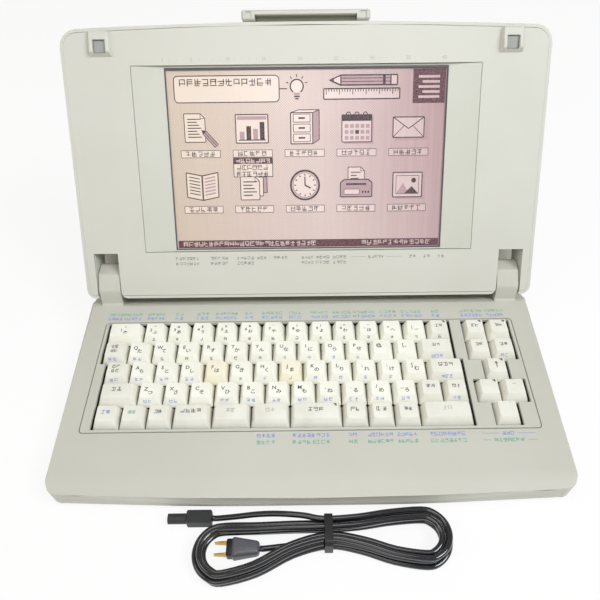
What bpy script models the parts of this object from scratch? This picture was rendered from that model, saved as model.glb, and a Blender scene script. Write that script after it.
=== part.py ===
"""A portable word processor: a keyboard base with a printer behind it, and a hinged display lid.

Lengths are in metres, +Z up. The base is laid out in the deck's own frame: X to the right, Y from the
nose to the rear and Z square to the deck, which slopes down to the nose. The lid is laid out in its own
frame: X to the right, Y from the hinge to the free edge and Z out of the inner face. Both frames are
empties, so every size is measured along its piece.
"""
import math

import bmesh
import bpy
from mathutils import Matrix, Vector

# Fits that many pieces share
GAP = 0.0003
OVERRUN = 0.02
SHARP_RADIUS = 0.001
ARC_STEPS = 4
ROUND_SIDES = 20
POST_SIDES = 10
SHARP_EDGE_DEG = 40.0
WELD = 1e-6

# Case outline
CASE_WIDTH = 0.365
CASE_DEPTH = 0.335
CASE_WALL = 0.0025
DECK_TILT_DEG = 4.0
PARTING_DROP = 0.011
FOOT_HEIGHT = 0.0025
TOE_SETBACK = 0.008
TOE_DROP = 0.020
NOSE_DROP = 0.0145
DECK_EDGE_SETBACK = 0.003
DECK_EDGE_DROP = 0.0035
PALM_KNEE_SETBACK = 0.015
PALM_KNEE_DROP = 0.0011
PALM_LENGTH = 0.040
PALM_RADIUS = 0.06
NOSE_RADIUS = 0.0018
UNDERSIDE_RADIUS = 0.003
FRONT_BULGE = 0.0042
FRONT_CORNER_RADIUS = 0.015
REAR_CORNER_RADIUS = 0.008
SIDE_EDGE_RADIUS = 0.003
BULGE_STEPS = 8

# Hinge line and the trough that the lid's foot turns in
HINGE_SETBACK = 0.189
HINGE_HEIGHT = 0.0165
TROUGH_RADIUS = 0.0245
TROUGH_LIP_DROP = 0.0025
TROUGH_LIP_RUN = 0.006
TROUGH_STEPS = 8
TROUGH_CORNER_RADIUS = 0.004
LID_LEAN_DEG = 35.2
PIN_RADIUS = 0.0025

# Rear housing
REAR_HOUSING_FRONT = 0.221
REAR_HOUSING_TOP = 0.0295
REAR_TOP_LENGTH = 0.082
REAR_EDGE_HEIGHT = 0.018
REAR_FALL_RADIUS = 0.03
REAR_EDGE_RADIUS = 0.007
HOUSING_EDGE_RADIUS = 0.003

# Hinge arms, moulded on the deck
ARM_WIDTH = 0.0175
ARM_SIDE_RUN = 0.01825
ARM_CENTRE = CASE_WIDTH / 2 - ARM_SIDE_RUN
ARM_ROOT_SETBACK = 0.1655
ARM_FOOT_SETBACK = 0.1695
ARM_FACE_SETBACK = 0.1725
ARM_KNEE_HEIGHT = 0.0122
ARM_TOP_SETBACK = 0.1826
ARM_TOP_HEIGHT = 0.0222
ARM_BACK_SETBACK = 0.1985
ARM_TOP_RADIUS = 0.003
ARM_KNEE_RADIUS = 0.006
ARM_SINK = 0.002

# Keyboard grid
KEY_GAP = 0.0008
KEYBOARD_FRONT = 0.0523
MAIN_BLOCK_SIDE_RUN = 0.0204
MAIN_BLOCK_LEFT = MAIN_BLOCK_SIDE_RUN - CASE_WIDTH / 2
KEY_WELL_MARGIN = 0.0007
CLUSTER_SIDE_RUN = 0.040
CLUSTER_CENTRE = CASE_WIDTH / 2 - CLUSTER_SIDE_RUN
CLUSTER_GAP = 0.00535
KEY_TOP_HEIGHT = 0.0035
KEY_SKIRT_DROP = 0.004
KEY_SIDE_INSET = 0.0028
KEY_FRONT_INSET = 0.0048
KEY_BACK_INSET = 0.0014
KEY_EDGE_RADIUS = 0.0006
KEY_STEM_WIDTH = 0.006
ROW_WIDTH_SHARES = (
    (1.5, 1, 1, 1, 1, 1, 1, 1, 1, 1, 1, 1, 1, 1),
    (1, 1, 1, 1, 1, 1, 1, 1, 1, 1, 1, 1, 1, 1.5),
    (1, 1, 1, 1, 1, 1, 1, 1, 1, 1, 1, 1, 1, 1.5),
    (1.5, 1, 1, 1, 1, 1, 1, 1, 1, 1, 1, 1, 1, 1),
    (1, 1, 1, 1.5, 1.5, 1.5, 2, 1, 1, 1, 2),
)
ROW_START_SHARES = (0, 0, 0.25, 0.25, 0.25)
# Pitches from the main block's left to its longest row's end, and on to the cluster's centre
KEYBOARD_SPAN_SHARES = ROW_START_SHARES[-1] + sum(ROW_WIDTH_SHARES[-1]) + 1
KEY_PITCH = (CLUSTER_CENTRE - CLUSTER_GAP - MAIN_BLOCK_LEFT) / KEYBOARD_SPAN_SHARES
BOTTOM_ROW = 4
# First and last key of each row above the bottom one, where it has a node of its own
ROW_END_NAMES = ((None, None), (None, "backspace_key"), (None, "return_key"), ("shift_key", None))
BOTTOM_ROW_NAMES = (
    "function_key_1",
    "function_key_2",
    "function_key_3",
    "function_key_4",
    "function_key_5",
    "function_key_6",
    "space_key",
    "function_key_7",
    "function_key_8",
    "function_key_9",
    "function_key_10",
)
# Name, columns right of the cluster's centre and row from the back
CLUSTER_PLACE_SHARES = (
    ("edit_key_1", -0.5, 0),
    ("edit_key_2", 0.5, 0),
    ("edit_key_3", -0.5, 1),
    ("edit_key_4", 0.5, 1),
    ("arrow_key_up", 0, 2),
    ("arrow_key_left", -0.5, 3),
    ("arrow_key_right", 0.5, 3),
    ("arrow_key_down", 0, 4),
)

# Keyboard frame under the deck, and the line engraved round the keys
FRAME_PLATE_DROP = 0.0085
FRAME_PLATE_THICKNESS = 0.002
FRAME_WALL = 0.0015
FRAME_MARGIN = 0.0035
BORDER_MARGIN = 0.0035
BORDER_BACK_MARGIN = 0.0023
BORDER_GROOVE_WIDTH = 0.0008
BORDER_GROOVE_DEPTH = 0.0005
BORDER_RADIUS = 0.003

# Main board and the posts that carry boards and units
BOARD_SIDE_RUN = 0.0325
BOARD_HALF_WIDTH = CASE_WIDTH / 2 - BOARD_SIDE_RUN
BOARD_FRONT = 0.032
BOARD_BACK = 0.160
BOARD_DROP = 0.0134
BOARD_THICKNESS = 0.0016
BOARD_POST_INSET = 0.012
POST_RADIUS = 0.004
CHIP_SIZE = 0.018
CHIP_HEIGHT = 0.0015
CHIP_SHARES = (-0.7, -0.3, 0.1, 0.5)

# Printer bay, cover and mechanism
BAY_LEFT_RUN = 0.0415
BAY_LEFT = BAY_LEFT_RUN - CASE_WIDTH / 2
BAY_RIGHT_RUN = 0.0635
BAY_RIGHT = CASE_WIDTH / 2 - BAY_RIGHT_RUN
BAY_FRONT = 0.236
BAY_BACK = 0.3025
PAPER_SLOT = 0.0075
COVER_THICKNESS = 0.0025
COVER_FIT = 0.0006
COVER_BACK_GAP = 0.0022
COVER_LIP_DEPTH = 0.0085
COVER_AXIS_INSET = 0.0025
COVER_AXIS_DROP = 0.0036
COVER_EAR_LENGTH = 0.012
COVER_EAR_WIDTH = 0.003
COVER_PIN_RADIUS = 0.0013
COVER_PIN_LENGTH = 0.003
COVER_LUG_WIDTH = 0.004
PLATEN_SETBACK = 0.256
PLATEN_HEIGHT = 0.008
PLATEN_RADIUS = 0.0085
PLATEN_SHAFT_RADIUS = 0.003
PLATEN_MARGIN = 0.0035
KNOB_RADIUS = 0.0115
KNOB_LENGTH = 0.013
KNOB_FLUTES = 18
KNOB_FLUTE_DEPTH = 0.0008
FLUTE_ROOT_SHARE = 0.7
FLUTE_TIP_SHARE = 0.4
KNOB_NOOK_RUN = 0.0195
KNOB_NOOK_LEFT = CASE_WIDTH / 2 - KNOB_NOOK_RUN
KNOB_NOOK_MARGIN = 0.004
CHASSIS_WALL = 0.002
CHASSIS_INSET = 0.006
CHASSIS_FRONT = 0.240
CHASSIS_BACK = 0.2985
CHASSIS_FLOOR_DROP = 0.009
CHASSIS_TOP = 0.0195
CHASSIS_POST_SHARES = (-0.45, 0.60)
CARRIAGE_RAIL_SETBACK = 0.2835
CARRIAGE_RAIL_HEIGHT = -0.001
CARRIAGE_RAIL_RADIUS = 0.0025
CARRIAGE_LENGTH = 0.034
CARRIAGE_FRONT = 0.271
CARRIAGE_BACK = 0.2945
CARRIAGE_LOW = -0.006
CARRIAGE_HIGH = 0.0065
CARRIAGE_HOME_GAP = 0.011
HEAD_THICKNESS = 0.003
HEAD_HIGH = 0.0135
HEAD_WIDTH = 0.022
HEAD_GAP = 0.0007
CASSETTE_LENGTH = 0.052
CASSETTE_HEIGHT = 0.011
CASSETTE_HUB_RADIUS = 0.006
CASSETTE_HUB_RISE = 0.0008
CASSETTE_HUB_SHARES = (0.25, 0.75)
CASSETTE_BEVEL = 0.002
GEAR_TEETH = 28
GEAR_RADIUS = 0.0105
GEAR_WIDTH = 0.003
TOOTH_DEPTH = 0.0012
PINION_TEETH = 12
PINION_RADIUS = 0.0045
GEAR_BACKLASH = 0.0004
TOOTH_ROOT_SHARE = 0.56
TOOTH_TIP_SHARE = 0.26
MOTOR_RADIUS = 0.005
MOTOR_LENGTH = 0.009
MOTOR_SHAFT_RADIUS = 0.0012

# Disk drive in the right side
DRIVE_FRONT = 0.2273
DRIVE_WIDTH = 0.0954
DRIVE_DEPTH = 0.102
DRIVE_TOP_DROP = 0.0136
DRIVE_HEIGHT = 0.0171
DISK_SLOT_WIDTH = 0.091
DISK_SLOT_HEIGHT = 0.0055
DISK_SLOT_DROP = 0.0165
DISK_SLOT_DEPTH = 0.096
EJECT_WIDTH = 0.010
EJECT_HEIGHT = 0.004
EJECT_DEPTH = 0.010
EJECT_TRAVEL = 0.003
EJECT_INSET = 0.014
EJECT_RISE = 0.0025
EJECT_SETBACK = 0.0005
DRIVE_POST_INSET = 0.015

# Power supply, inlet, switch, dial, vents and feet
SUPPLY_SIDE_RUN = 0.0145
SUPPLY_LEFT = SUPPLY_SIDE_RUN - CASE_WIDTH / 2
SUPPLY_WIDTH = 0.092
SUPPLY_FRONT = 0.232
SUPPLY_DEPTH = 0.078
SUPPLY_DROP = 0.0280
SUPPLY_BLOCK_HEIGHT = 0.012
SUPPLY_BLOCK_SHARES = ((0.04, 0.42), (0.50, 0.94))
INLET_SIDE_RUN = 0.0595
INLET_CENTRE = INLET_SIDE_RUN - CASE_WIDTH / 2
INLET_WIDTH = 0.024
INLET_HEIGHT = 0.016
INLET_DROP = 0.0145
INLET_DEPTH = 0.017
INLET_SOCKET_WIDTH = 0.018
INLET_SOCKET_HEIGHT = 0.010
INLET_SOCKET_DEPTH = 0.013
INLET_PIN_RADIUS = 0.0012
INLET_PIN_SPREAD = 0.0085
INLET_PIN_LENGTH = 0.009
SWITCH_SETBACK = 0.251
SWITCH_HEIGHT = 0.006
SWITCH_LENGTH = 0.0212
SWITCH_TALL = 0.0112
SWITCH_FIT = 0.0006
SWITCH_DEPTH = 0.005
SWITCH_DISH = 0.0013
SWITCH_INSET = 0.0013
SWITCH_PIN_RADIUS = 0.0012
SWITCH_PIN_LENGTH = 0.001
SWITCH_THROW_DEG = 5.0
POCKET_WALL = 0.0015
POCKET_DEPTH = 0.0090
DIAL_SIDE_RUN = 0.0175
DIAL_CENTRE = DIAL_SIDE_RUN - CASE_WIDTH / 2
DIAL_SETBACK = 0.262
DIAL_RADIUS = 0.011
DIAL_WIDTH = 0.005
DIAL_RISE = 0.0025
DIAL_FLUTES = 24
DIAL_FLUTE_DEPTH = 0.0005
DIAL_SHAFT_RADIUS = 0.0015
DIAL_FIT = 0.0008
DIAL_LUG_WIDTH = 0.0017
DIAL_LUG_LENGTH = 0.009
VENT_COUNT = 13
VENT_PITCH = 0.008
VENT_WIDTH = 0.003
VENT_HEIGHT = 0.016
VENT_DROP = 0.018
FOOT_RADIUS = 0.008
FOOT_INSET = 0.026
FOOT_SOCKET = 0.0008

# Lid shell
LID_THICKNESS = 0.025
LID_FACE_HEIGHT = 0.01125
LID_FOOT = 0.0186
LID_LENGTH = 0.2075
LID_WALL = 0.0022
LID_RIM_RISE = 0.0005
LID_BACK_RADIUS = 0.006
LID_FOOT_CORNER = 0.007
LID_CORNER_RADIUS = 0.013
LID_BULGE = 0.0042
FACE_THICKNESS = 0.0025
NOTCH_LENGTH = 0.0373
NOTCH_MARGIN = 0.0009
NOTCH_FLARE = 0.005
PIN_MARGIN = 0.0035

# Display
DISPLAY_CENTRE = 0.0895
WINDOW_WIDTH = 0.2146
WINDOW_LENGTH = 0.1376
INSERT_SIDE_RUN = 0.0242
INSERT_END_RUN = 0.0012
INSERT_WIDTH = WINDOW_WIDTH + 2 * INSERT_SIDE_RUN
INSERT_LENGTH = WINDOW_LENGTH + 2 * INSERT_END_RUN
INSERT_DROP = 0.00265
INSERT_THICKNESS = 0.0022
INSERT_EDGE_THICKNESS = 0.0012
PANEL_SIDE_LAP = 0.0047
PANEL_END_LAP = 0.0052
PANEL_WIDTH = WINDOW_WIDTH + 2 * PANEL_SIDE_LAP
PANEL_LENGTH = WINDOW_LENGTH + 2 * PANEL_END_LAP
PANEL_THICKNESS = 0.0024
BACKLIGHT_THICKNESS = 0.005
BACKLIGHT_INSET = 0.003
LID_POST_SHARES = ((-0.85, -0.7), (0.85, -0.7), (-0.85, 0.7), (0.85, 0.7))

# Rest blocks on the lid's face, with their pads
REST_SIDE_RUN = 0.030
REST_CENTRE = CASE_WIDTH / 2 - REST_SIDE_RUN
REST_WIDTH = 0.0185
REST_LOW = 0.1655
REST_LENGTH = 0.0177
REST_HEIGHT = 0.005
REST_END_HEIGHT = 0.0036
REST_SIDE_TAPER = 0.0022
REST_END_TAPER = 0.0035
REST_SINK = 0.001
PAD_SIZE = 0.0085
PAD_LOW = 0.1685
PAD_SINK = 0.0005
PAD_RISE = 0.0022

# Pull-out carrying handle
HANDLE_WIDTH = 0.096
HANDLE_EDGE_GAP = 0.001
HANDLE_HEIGHT = 0.0072
HANDLE_FRONT = 0.0045
HANDLE_DEPTH = 0.014
HANDLE_BEVEL = 0.0012
HANDLE_END_LENGTH = 0.010
CHANNEL_DEPTH = 0.011
CHANNEL_WALL = 0.0032
HANDLE_SOCKET = 0.0048
HANDLE_SOCKET_DEPTH = 0.0012
HANDLE_SOCKET_RISE = 0.0012
LEG_WIDTH = 0.008
LEG_THICKNESS = 0.005
LEG_LENGTH = 0.050
LEG_LEVEL = -0.0055
LEG_STOP_WIDTH = 0.011
LEG_STOP_LENGTH = 0.002
LEG_INSET = 0.0055
GUIDE_LENGTH = 0.0125
GUIDE_WALL = 0.0018

# Detached mains cord, tied as a hank in front of the nose
CORD_DIAMETER = 0.004
CORD_LIFT = 0.0002
HANK_LEFT_FOLD = (-0.0575, -0.199)
HANK_RIGHT_FOLD = (0.0725, -0.190)
HANK_WAIST = (0.0106, -0.187)
HANK_LEFT_RADIUS = 0.0185
HANK_RIGHT_RADIUS = 0.0175
HANK_WAIST_HALF = 0.0077
HANK_LANE_STEP = 0.00525
HANK_LAYER_STEP = 0.0047
HANK_LAYERS = 3
HANK_LOOPS = 4.5
HANK_CLIMB = 0.5
POINTS_PER_LOOP = 24
LEAST_CORD_GAP = 0.0004
BEND_LENGTH = 0.012
TIE_WIDTH = 0.0055
TIE_THICKNESS = 0.0009
TIE_FIT = 0.0004
TIE_RADIUS = 0.005
PLUG_BACK = (-0.034, -0.1955)
PLUG_LENGTH = 0.018
PLUG_WIDTH = 0.0135
PLUG_HEIGHT = 0.0105
PLUG_BEVEL = 0.002
PLUG_COLLAR_LENGTH = 0.0035
PLUG_COLLAR_INSET = 0.0012
PLUG_BLADE_LENGTH = 0.008
PLUG_BLADE_WIDTH = 0.0055
PLUG_BLADE_THICKNESS = 0.0013
PLUG_BLADE_SPREAD = 0.0075
CONNECTOR_BACK = (-0.0670, -0.1745)
CONNECTOR_LENGTH = 0.017
CONNECTOR_WIDTH = 0.009
CONNECTOR_HEIGHT = 0.009
CONNECTOR_BEVEL = 0.0008
BARREL_LENGTH = 0.0125
BARREL_RADIUS = 0.0035
BARREL_BORE = 0.0015
BARREL_BORE_DEPTH = 0.009
LEAD_TURN_SHARE = -0.03
TAIL_POINTS = (
    (-0.006, -0.1768, 0.0128),
    (-0.022, -0.1752, 0.0122),
    (-0.036, -0.1745, 0.0102),
    (-0.049, -0.1745, 0.0073),
)


def clear_scene():
    for obj in list(bpy.data.objects):
        bpy.data.objects.remove(obj, do_unlink=True)


def new_collection(name):
    collection = bpy.data.collections.new(name)
    bpy.context.scene.collection.children.link(collection)
    return collection


clear_scene()
PARTS = new_collection("word_processor")
CUTTERS = new_collection("cutters")
CUTTERS.hide_render = True


# Frames of the deck and the lid


def underside_height(setback):
    """The case's underside in the deck's frame: level with the table while the deck slopes."""
    return -TOE_DROP - (setback - TOE_SETBACK) * math.tan(math.radians(DECK_TILT_DEG))


def new_frame(name, parent, location, turn_deg):
    frame = bpy.data.objects.new(name, None)
    frame.empty_display_size = OVERRUN
    PARTS.objects.link(frame)
    frame.parent = parent
    frame.location = location
    frame.rotation_euler.x = math.radians(turn_deg)
    return frame


def deck_frame():
    """Stands the case on the floor, with the origin under the middle of its plan."""
    tilt = Matrix.Rotation(math.radians(DECK_TILT_DEG), 3, "X")
    toe = tilt @ Vector((0, TOE_SETBACK, -TOE_DROP))
    nose = tilt @ Vector((0, 0, -NOSE_DROP))
    rear = tilt @ Vector((0, CASE_DEPTH, underside_height(CASE_DEPTH) + UNDERSIDE_RADIUS))
    return new_frame("deck_frame", None, (0, -(nose.y + rear.y) / 2, FOOT_HEIGHT - toe.z), DECK_TILT_DEG)


DECK = deck_frame()
LID = new_frame("lid_frame", DECK, (0, HINGE_SETBACK, HINGE_HEIGHT), 90 - LID_LEAN_DEG)


# Building blocks


def finish(name, colour, roughness, metallic=0.0):
    material = bpy.data.materials.get(name)
    if material is None:
        material = bpy.data.materials.new(name)
        material.use_nodes = True
        shader = material.node_tree.nodes["Principled BSDF"]
        shader.inputs["Base Color"].default_value = (*colour, 1)
        shader.inputs["Roughness"].default_value = roughness
        shader.inputs["Metallic"].default_value = metallic
    return material


def case_plastic():
    return finish("case_plastic", (0.56, 0.55, 0.49), 0.55)


def lid_plastic():
    return finish("lid_plastic", (0.64, 0.63, 0.58), 0.5)


def key_plastic():
    return finish("key_plastic", (0.83, 0.81, 0.70), 0.45)


def function_key_plastic():
    return finish("function_key_plastic", (0.74, 0.72, 0.63), 0.45)


def dark_plastic():
    return finish("dark_plastic", (0.07, 0.07, 0.075), 0.45)


def grey_plastic():
    return finish("grey_plastic", (0.3, 0.3, 0.29), 0.5)


def rubber():
    return finish("rubber", (0.035, 0.035, 0.035), 0.8)


def steel():
    return finish("steel", (0.62, 0.62, 0.63), 0.3, 1.0)


def board_green():
    return finish("board_green", (0.04, 0.16, 0.07), 0.5)


def display_glass():
    return finish("display_glass", (0.72, 0.52, 0.52), 0.2)


def backlight_white():
    return finish("backlight_white", (0.8, 0.8, 0.78), 0.5)


def cord_rubber():
    return finish("cord_rubber", (0.02, 0.022, 0.027), 0.35)


def add_object(name, mesh, frame, material=None):
    """A part where it has a material, and a hidden cutter where it has none."""
    obj = bpy.data.objects.new(name, mesh)
    if material is None:
        CUTTERS.objects.link(obj)
        obj.hide_render = True
        obj.display_type = "WIRE"
    else:
        PARTS.objects.link(obj)
        mesh.materials.append(material)
    obj.parent = frame
    return obj


def mesh_of(name, shape):
    bmesh.ops.recalc_face_normals(shape, faces=shape.faces)
    mesh = bpy.data.meshes.new(name)
    shape.to_mesh(mesh)
    shape.free()
    return mesh


def block(name, low, high, frame, material=None, bevel=0):
    """A box between two corners, with its edges turned by a bevel."""
    low = Vector(low)
    high = Vector(high)
    shape = bmesh.new()
    size = Matrix.Diagonal((*(high - low), 1))
    bmesh.ops.create_cube(shape, size=1, matrix=Matrix.Translation((low + high) / 2) @ size)
    if bevel:
        bmesh.ops.bevel(shape, geom=shape.edges[:], offset=bevel, segments=1, affect="EDGES")
    return add_object(name, mesh_of(name, shape), frame, material)


AXIS_TURNS = {
    "X": Matrix.Rotation(math.radians(90), 4, "Y"),
    "Y": Matrix.Rotation(math.radians(-90), 4, "X"),
    "Z": Matrix.Identity(4),
}


def rod(name, radius, start, length, axis, frame, material=None, sides=ROUND_SIDES, end_radius=None):
    """A cylinder or cone from start along an axis."""
    shape = bmesh.new()
    turn = AXIS_TURNS[axis]
    middle = Vector(start) + turn @ Vector((0, 0, length / 2))
    bmesh.ops.create_cone(
        shape,
        cap_ends=True,
        segments=sides,
        radius1=radius,
        radius2=radius if end_radius is None else end_radius,
        depth=length,
        matrix=Matrix.Translation(middle) @ turn,
    )
    mesh = mesh_of(name, shape)
    mesh.shade_smooth()
    mesh.set_sharp_from_angle(angle=math.radians(SHARP_EDGE_DEG))
    return add_object(name, mesh, frame, material)


PLANE_TURNS = {
    "XY": Matrix.Identity(4),
    "YZ": Matrix(((0, 0, 1, 0), (1, 0, 0, 0), (0, 1, 0, 0), (0, 0, 0, 1))),
    "XZ": Matrix(((1, 0, 0, 0), (0, 0, -1, 0), (0, 1, 0, 0), (0, 0, 0, 1))),
}
THICKNESS_AXIS = {"XY": Vector((0, 0, 1)), "YZ": Vector((1, 0, 0)), "XZ": Vector((0, 1, 0))}


def flat_piece(name, outline, plane, low, high, frame, material=None):
    """An outline in a plane, given thickness from low to high across it."""
    curve = bpy.data.curves.new(name + "_outline", "CURVE")
    curve.dimensions = "2D"
    curve.fill_mode = "BOTH"
    curve.extrude = (high - low) / 2
    spline = curve.splines.new("POLY")
    spline.points.add(len(outline) - 1)
    for point, (a, b) in zip(spline.points, outline):
        point.co = (a, b, 0, 1)
    spline.use_cyclic_u = True
    guide = bpy.data.objects.new(name + "_guide", curve)
    bpy.context.scene.collection.objects.link(guide)
    bpy.context.view_layer.update()
    graph = bpy.context.evaluated_depsgraph_get()
    flat = bpy.data.meshes.new_from_object(guide.evaluated_get(graph))
    bpy.data.objects.remove(guide)
    shape = bmesh.new()
    shape.from_mesh(flat)
    bpy.data.meshes.remove(flat)
    bmesh.ops.remove_doubles(shape, verts=shape.verts, dist=WELD)
    place = Matrix.Translation(THICKNESS_AXIS[plane] * (low + high) / 2) @ PLANE_TURNS[plane]
    bmesh.ops.transform(shape, matrix=place, verts=shape.verts)
    return add_object(name, mesh_of(name, shape), frame, material)


def use_boolean(target, tool, operation):
    step = target.modifiers.new(tool.name, "BOOLEAN")
    step.operation = operation
    step.object = tool
    return target


def cut(target, *tools):
    for tool in tools:
        use_boolean(target, tool, "DIFFERENCE")
    return target


def join(target, *tools):
    for tool in tools:
        use_boolean(target, tool, "UNION")
    return target


def keep_within(target, *tools):
    for tool in tools:
        use_boolean(target, tool, "INTERSECT")
    return target


def settle(obj):
    """Applies an object's Booleans, so that it can be cut or copied cheaply."""
    bpy.context.view_layer.update()
    graph = bpy.context.evaluated_depsgraph_get()
    made = bpy.data.meshes.new_from_object(obj.evaluated_get(graph), depsgraph=graph)
    obj.modifiers.clear()
    obj.data = made
    return obj


def turn_about(obj, place):
    """Moves an object's origin to a point of its joint's axis and leaves its shape in place."""
    obj.data.transform(Matrix.Translation(-Vector(place)))
    obj.location = place
    return obj


def rounded(corners):
    """An outline through corners (a, b, radius), each turned by an arc of its radius."""
    outline = []
    for index, (a, b, radius) in enumerate(corners):
        here = Vector((a, b))
        if not radius:
            outline.append(here)
            continue
        back = (Vector(corners[index - 1][:2]) - here).normalized()
        ahead = (Vector(corners[(index + 1) % len(corners)][:2]) - here).normalized()
        half = back.angle(ahead) / 2
        centre = here + (back + ahead).normalized() * radius / math.sin(half)
        first = here + back * radius / math.tan(half) - centre
        last = here + ahead * radius / math.tan(half) - centre
        sweep = first.angle_signed(last)
        for step in range(ARC_STEPS + 1):
            turn = Matrix.Rotation(-sweep * step / ARC_STEPS, 2)
            outline.append(centre + turn @ first)
    return outline


def drawn_in(corners, distance):
    """The corners (a, b, radius) of an outline drawn in by a distance, square to its sides."""
    count = len(corners)
    points = [Vector(corner[:2]) for corner in corners]
    area = sum(points[i - 1].cross(points[i]) for i in range(count))
    side = 1 if area > 0 else -1
    drawn = []
    for index, here in enumerate(points):
        into = (here - points[index - 1]).normalized()
        out = (points[(index + 1) % count] - here).normalized()
        normal_in = Vector((-into.y, into.x)) * side
        normal_out = Vector((-out.y, out.x)) * side
        bisector = (normal_in + normal_out).normalized()
        moved_to = here + bisector * distance / bisector.dot(normal_in)
        outward = into.cross(out) * side > 0
        radius = corners[index][2]
        if radius and distance:
            radius += -distance if outward else distance
            radius = radius if radius > SHARP_RADIUS else 0
        drawn.append((*moved_to, radius))
    return drawn


def arc(centre_a, centre_b, radius, first_angle, last_angle, steps):
    points = []
    for step in range(steps + 1):
        angle = first_angle + (last_angle - first_angle) * step / steps
        points.append((centre_a + radius * math.cos(angle), centre_b + radius * math.sin(angle), 0))
    return points


def rectangle(low_a, low_b, high_a, high_b, radius):
    """Corners of a rectangle."""
    return (
        (low_a, low_b, radius),
        (high_a, low_b, radius),
        (high_a, high_b, radius),
        (low_a, high_b, radius),
    )


def star_outline(count, root, tip, root_share, tip_share, turn=0.0):
    """Teeth or flutes round the origin: each takes root_share of its pitch at the root."""
    pitch = 2 * math.pi / count
    outline = []
    for index in range(count):
        middle = index * pitch + turn
        for radius, reach in (
            (root, -root_share / 2),
            (tip, -tip_share / 2),
            (tip, tip_share / 2),
            (root, root_share / 2),
        ):
            angle = middle + reach * pitch
            outline.append(Vector((radius * math.cos(angle), radius * math.sin(angle))))
    return outline


def moved(outline, a, b):
    return [Vector((point[0] + a, point[1] + b)) for point in outline]


# Case shells


def bulged_edge(width, bulge, sign, level):
    """Inner points of an edge that swells by a bulge at its middle, from left to right."""
    points = []
    for step in range(1, BULGE_STEPS):
        share = 2 * step / BULGE_STEPS - 1
        points.append((share * width / 2, level + sign * bulge * share * share, 0))
    return points


def trough_bottom():
    return HINGE_HEIGHT - TROUGH_RADIUS


def trough_lip_setback():
    """Where the trough's arc comes up to the lip behind the keyboard."""
    fall = HINGE_HEIGHT + TROUGH_LIP_DROP
    return HINGE_SETBACK - math.sqrt(TROUGH_RADIUS**2 - fall**2)


def case_side_corners():
    lip = trough_lip_setback()
    lip_angle = math.atan2(-TROUGH_LIP_DROP - HINGE_HEIGHT, lip - HINGE_SETBACK)
    floor_angle = -math.pi / 2
    return (
        [
            (TOE_SETBACK, -TOE_DROP, UNDERSIDE_RADIUS),
            (0, -NOSE_DROP, NOSE_RADIUS),
            (DECK_EDGE_SETBACK, -DECK_EDGE_DROP, NOSE_RADIUS),
            (PALM_KNEE_SETBACK, -PALM_KNEE_DROP, PALM_RADIUS),
            (PALM_LENGTH, 0, PALM_RADIUS),
            (lip - TROUGH_LIP_RUN, 0, NOSE_RADIUS),
        ]
        + arc(HINGE_SETBACK, HINGE_HEIGHT, TROUGH_RADIUS, lip_angle, floor_angle, TROUGH_STEPS)
        + [
            (REAR_HOUSING_FRONT, trough_bottom(), TROUGH_CORNER_RADIUS),
            (REAR_HOUSING_FRONT, REAR_HOUSING_TOP, HOUSING_EDGE_RADIUS),
            (REAR_HOUSING_FRONT + REAR_TOP_LENGTH, REAR_HOUSING_TOP, REAR_FALL_RADIUS),
            (CASE_DEPTH, REAR_EDGE_HEIGHT, REAR_EDGE_RADIUS),
            (CASE_DEPTH, underside_height(CASE_DEPTH), UNDERSIDE_RADIUS),
        ]
    )


def case_plan_corners():
    half = CASE_WIDTH / 2
    return (
        [(-half, FRONT_BULGE, FRONT_CORNER_RADIUS)]
        + bulged_edge(CASE_WIDTH, FRONT_BULGE, 1, 0)
        + [
            (half, FRONT_BULGE, FRONT_CORNER_RADIUS),
            (half, CASE_DEPTH, REAR_CORNER_RADIUS),
            (-half, CASE_DEPTH, REAR_CORNER_RADIUS),
        ]
    )


def case_end_corners(top):
    half = CASE_WIDTH / 2
    low = underside_height(CASE_DEPTH) - OVERRUN
    radius = SIDE_EDGE_RADIUS
    return ((-half, low, 0), (half, low, 0), (half, top, radius), (-half, top, radius))


def case_solid(name, wall):
    """The case's outer form drawn in by a wall, where its side, plan and end outlines meet."""
    half = CASE_WIDTH / 2
    low = underside_height(CASE_DEPTH) - OVERRUN
    high = REAR_HOUSING_TOP + OVERRUN
    split = REAR_HOUSING_FRONT - CASE_WALL / 2
    side = rounded(drawn_in(case_side_corners(), wall))
    solid = flat_piece(name, side, "YZ", -half, half, DECK)
    outline = rounded(drawn_in(case_plan_corners(), wall))
    plan = flat_piece(name + "_plan", outline, "XY", low, high, DECK)
    deck_end = rounded(drawn_in(case_end_corners(0), wall))
    housing_end = rounded(drawn_in(case_end_corners(REAR_HOUSING_TOP), wall))
    ends = flat_piece(name + "_deck_end", deck_end, "XZ", -OVERRUN, split + CASE_WALL, DECK)
    housing = flat_piece(name + "_housing_end", housing_end, "XZ", split, CASE_DEPTH + OVERRUN, DECK)
    settle(join(ends, housing))
    return settle(keep_within(solid, plan, ends))


def case_band(name, low, high):
    half = CASE_WIDTH / 2 + OVERRUN
    return block(name, (-half, -OVERRUN, low), (half, CASE_DEPTH + OVERRUN, high), DECK)


CASE_LOW = underside_height(CASE_DEPTH) - 2 * OVERRUN
CASE_HIGH = REAR_HOUSING_TOP + 2 * OVERRUN


def key_row_front(row):
    """The front of a key row, counted from the back."""
    return KEYBOARD_FRONT + (len(ROW_WIDTH_SHARES) - 1 - row) * KEY_PITCH


def main_block_rows():
    """Left, front, right and back of each row of the main block."""
    rows = []
    for row, widths in enumerate(ROW_WIDTH_SHARES):
        left = MAIN_BLOCK_LEFT + ROW_START_SHARES[row] * KEY_PITCH
        front = key_row_front(row)
        rows.append((left, front, left + sum(widths) * KEY_PITCH, front + KEY_PITCH))
    return rows


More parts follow.
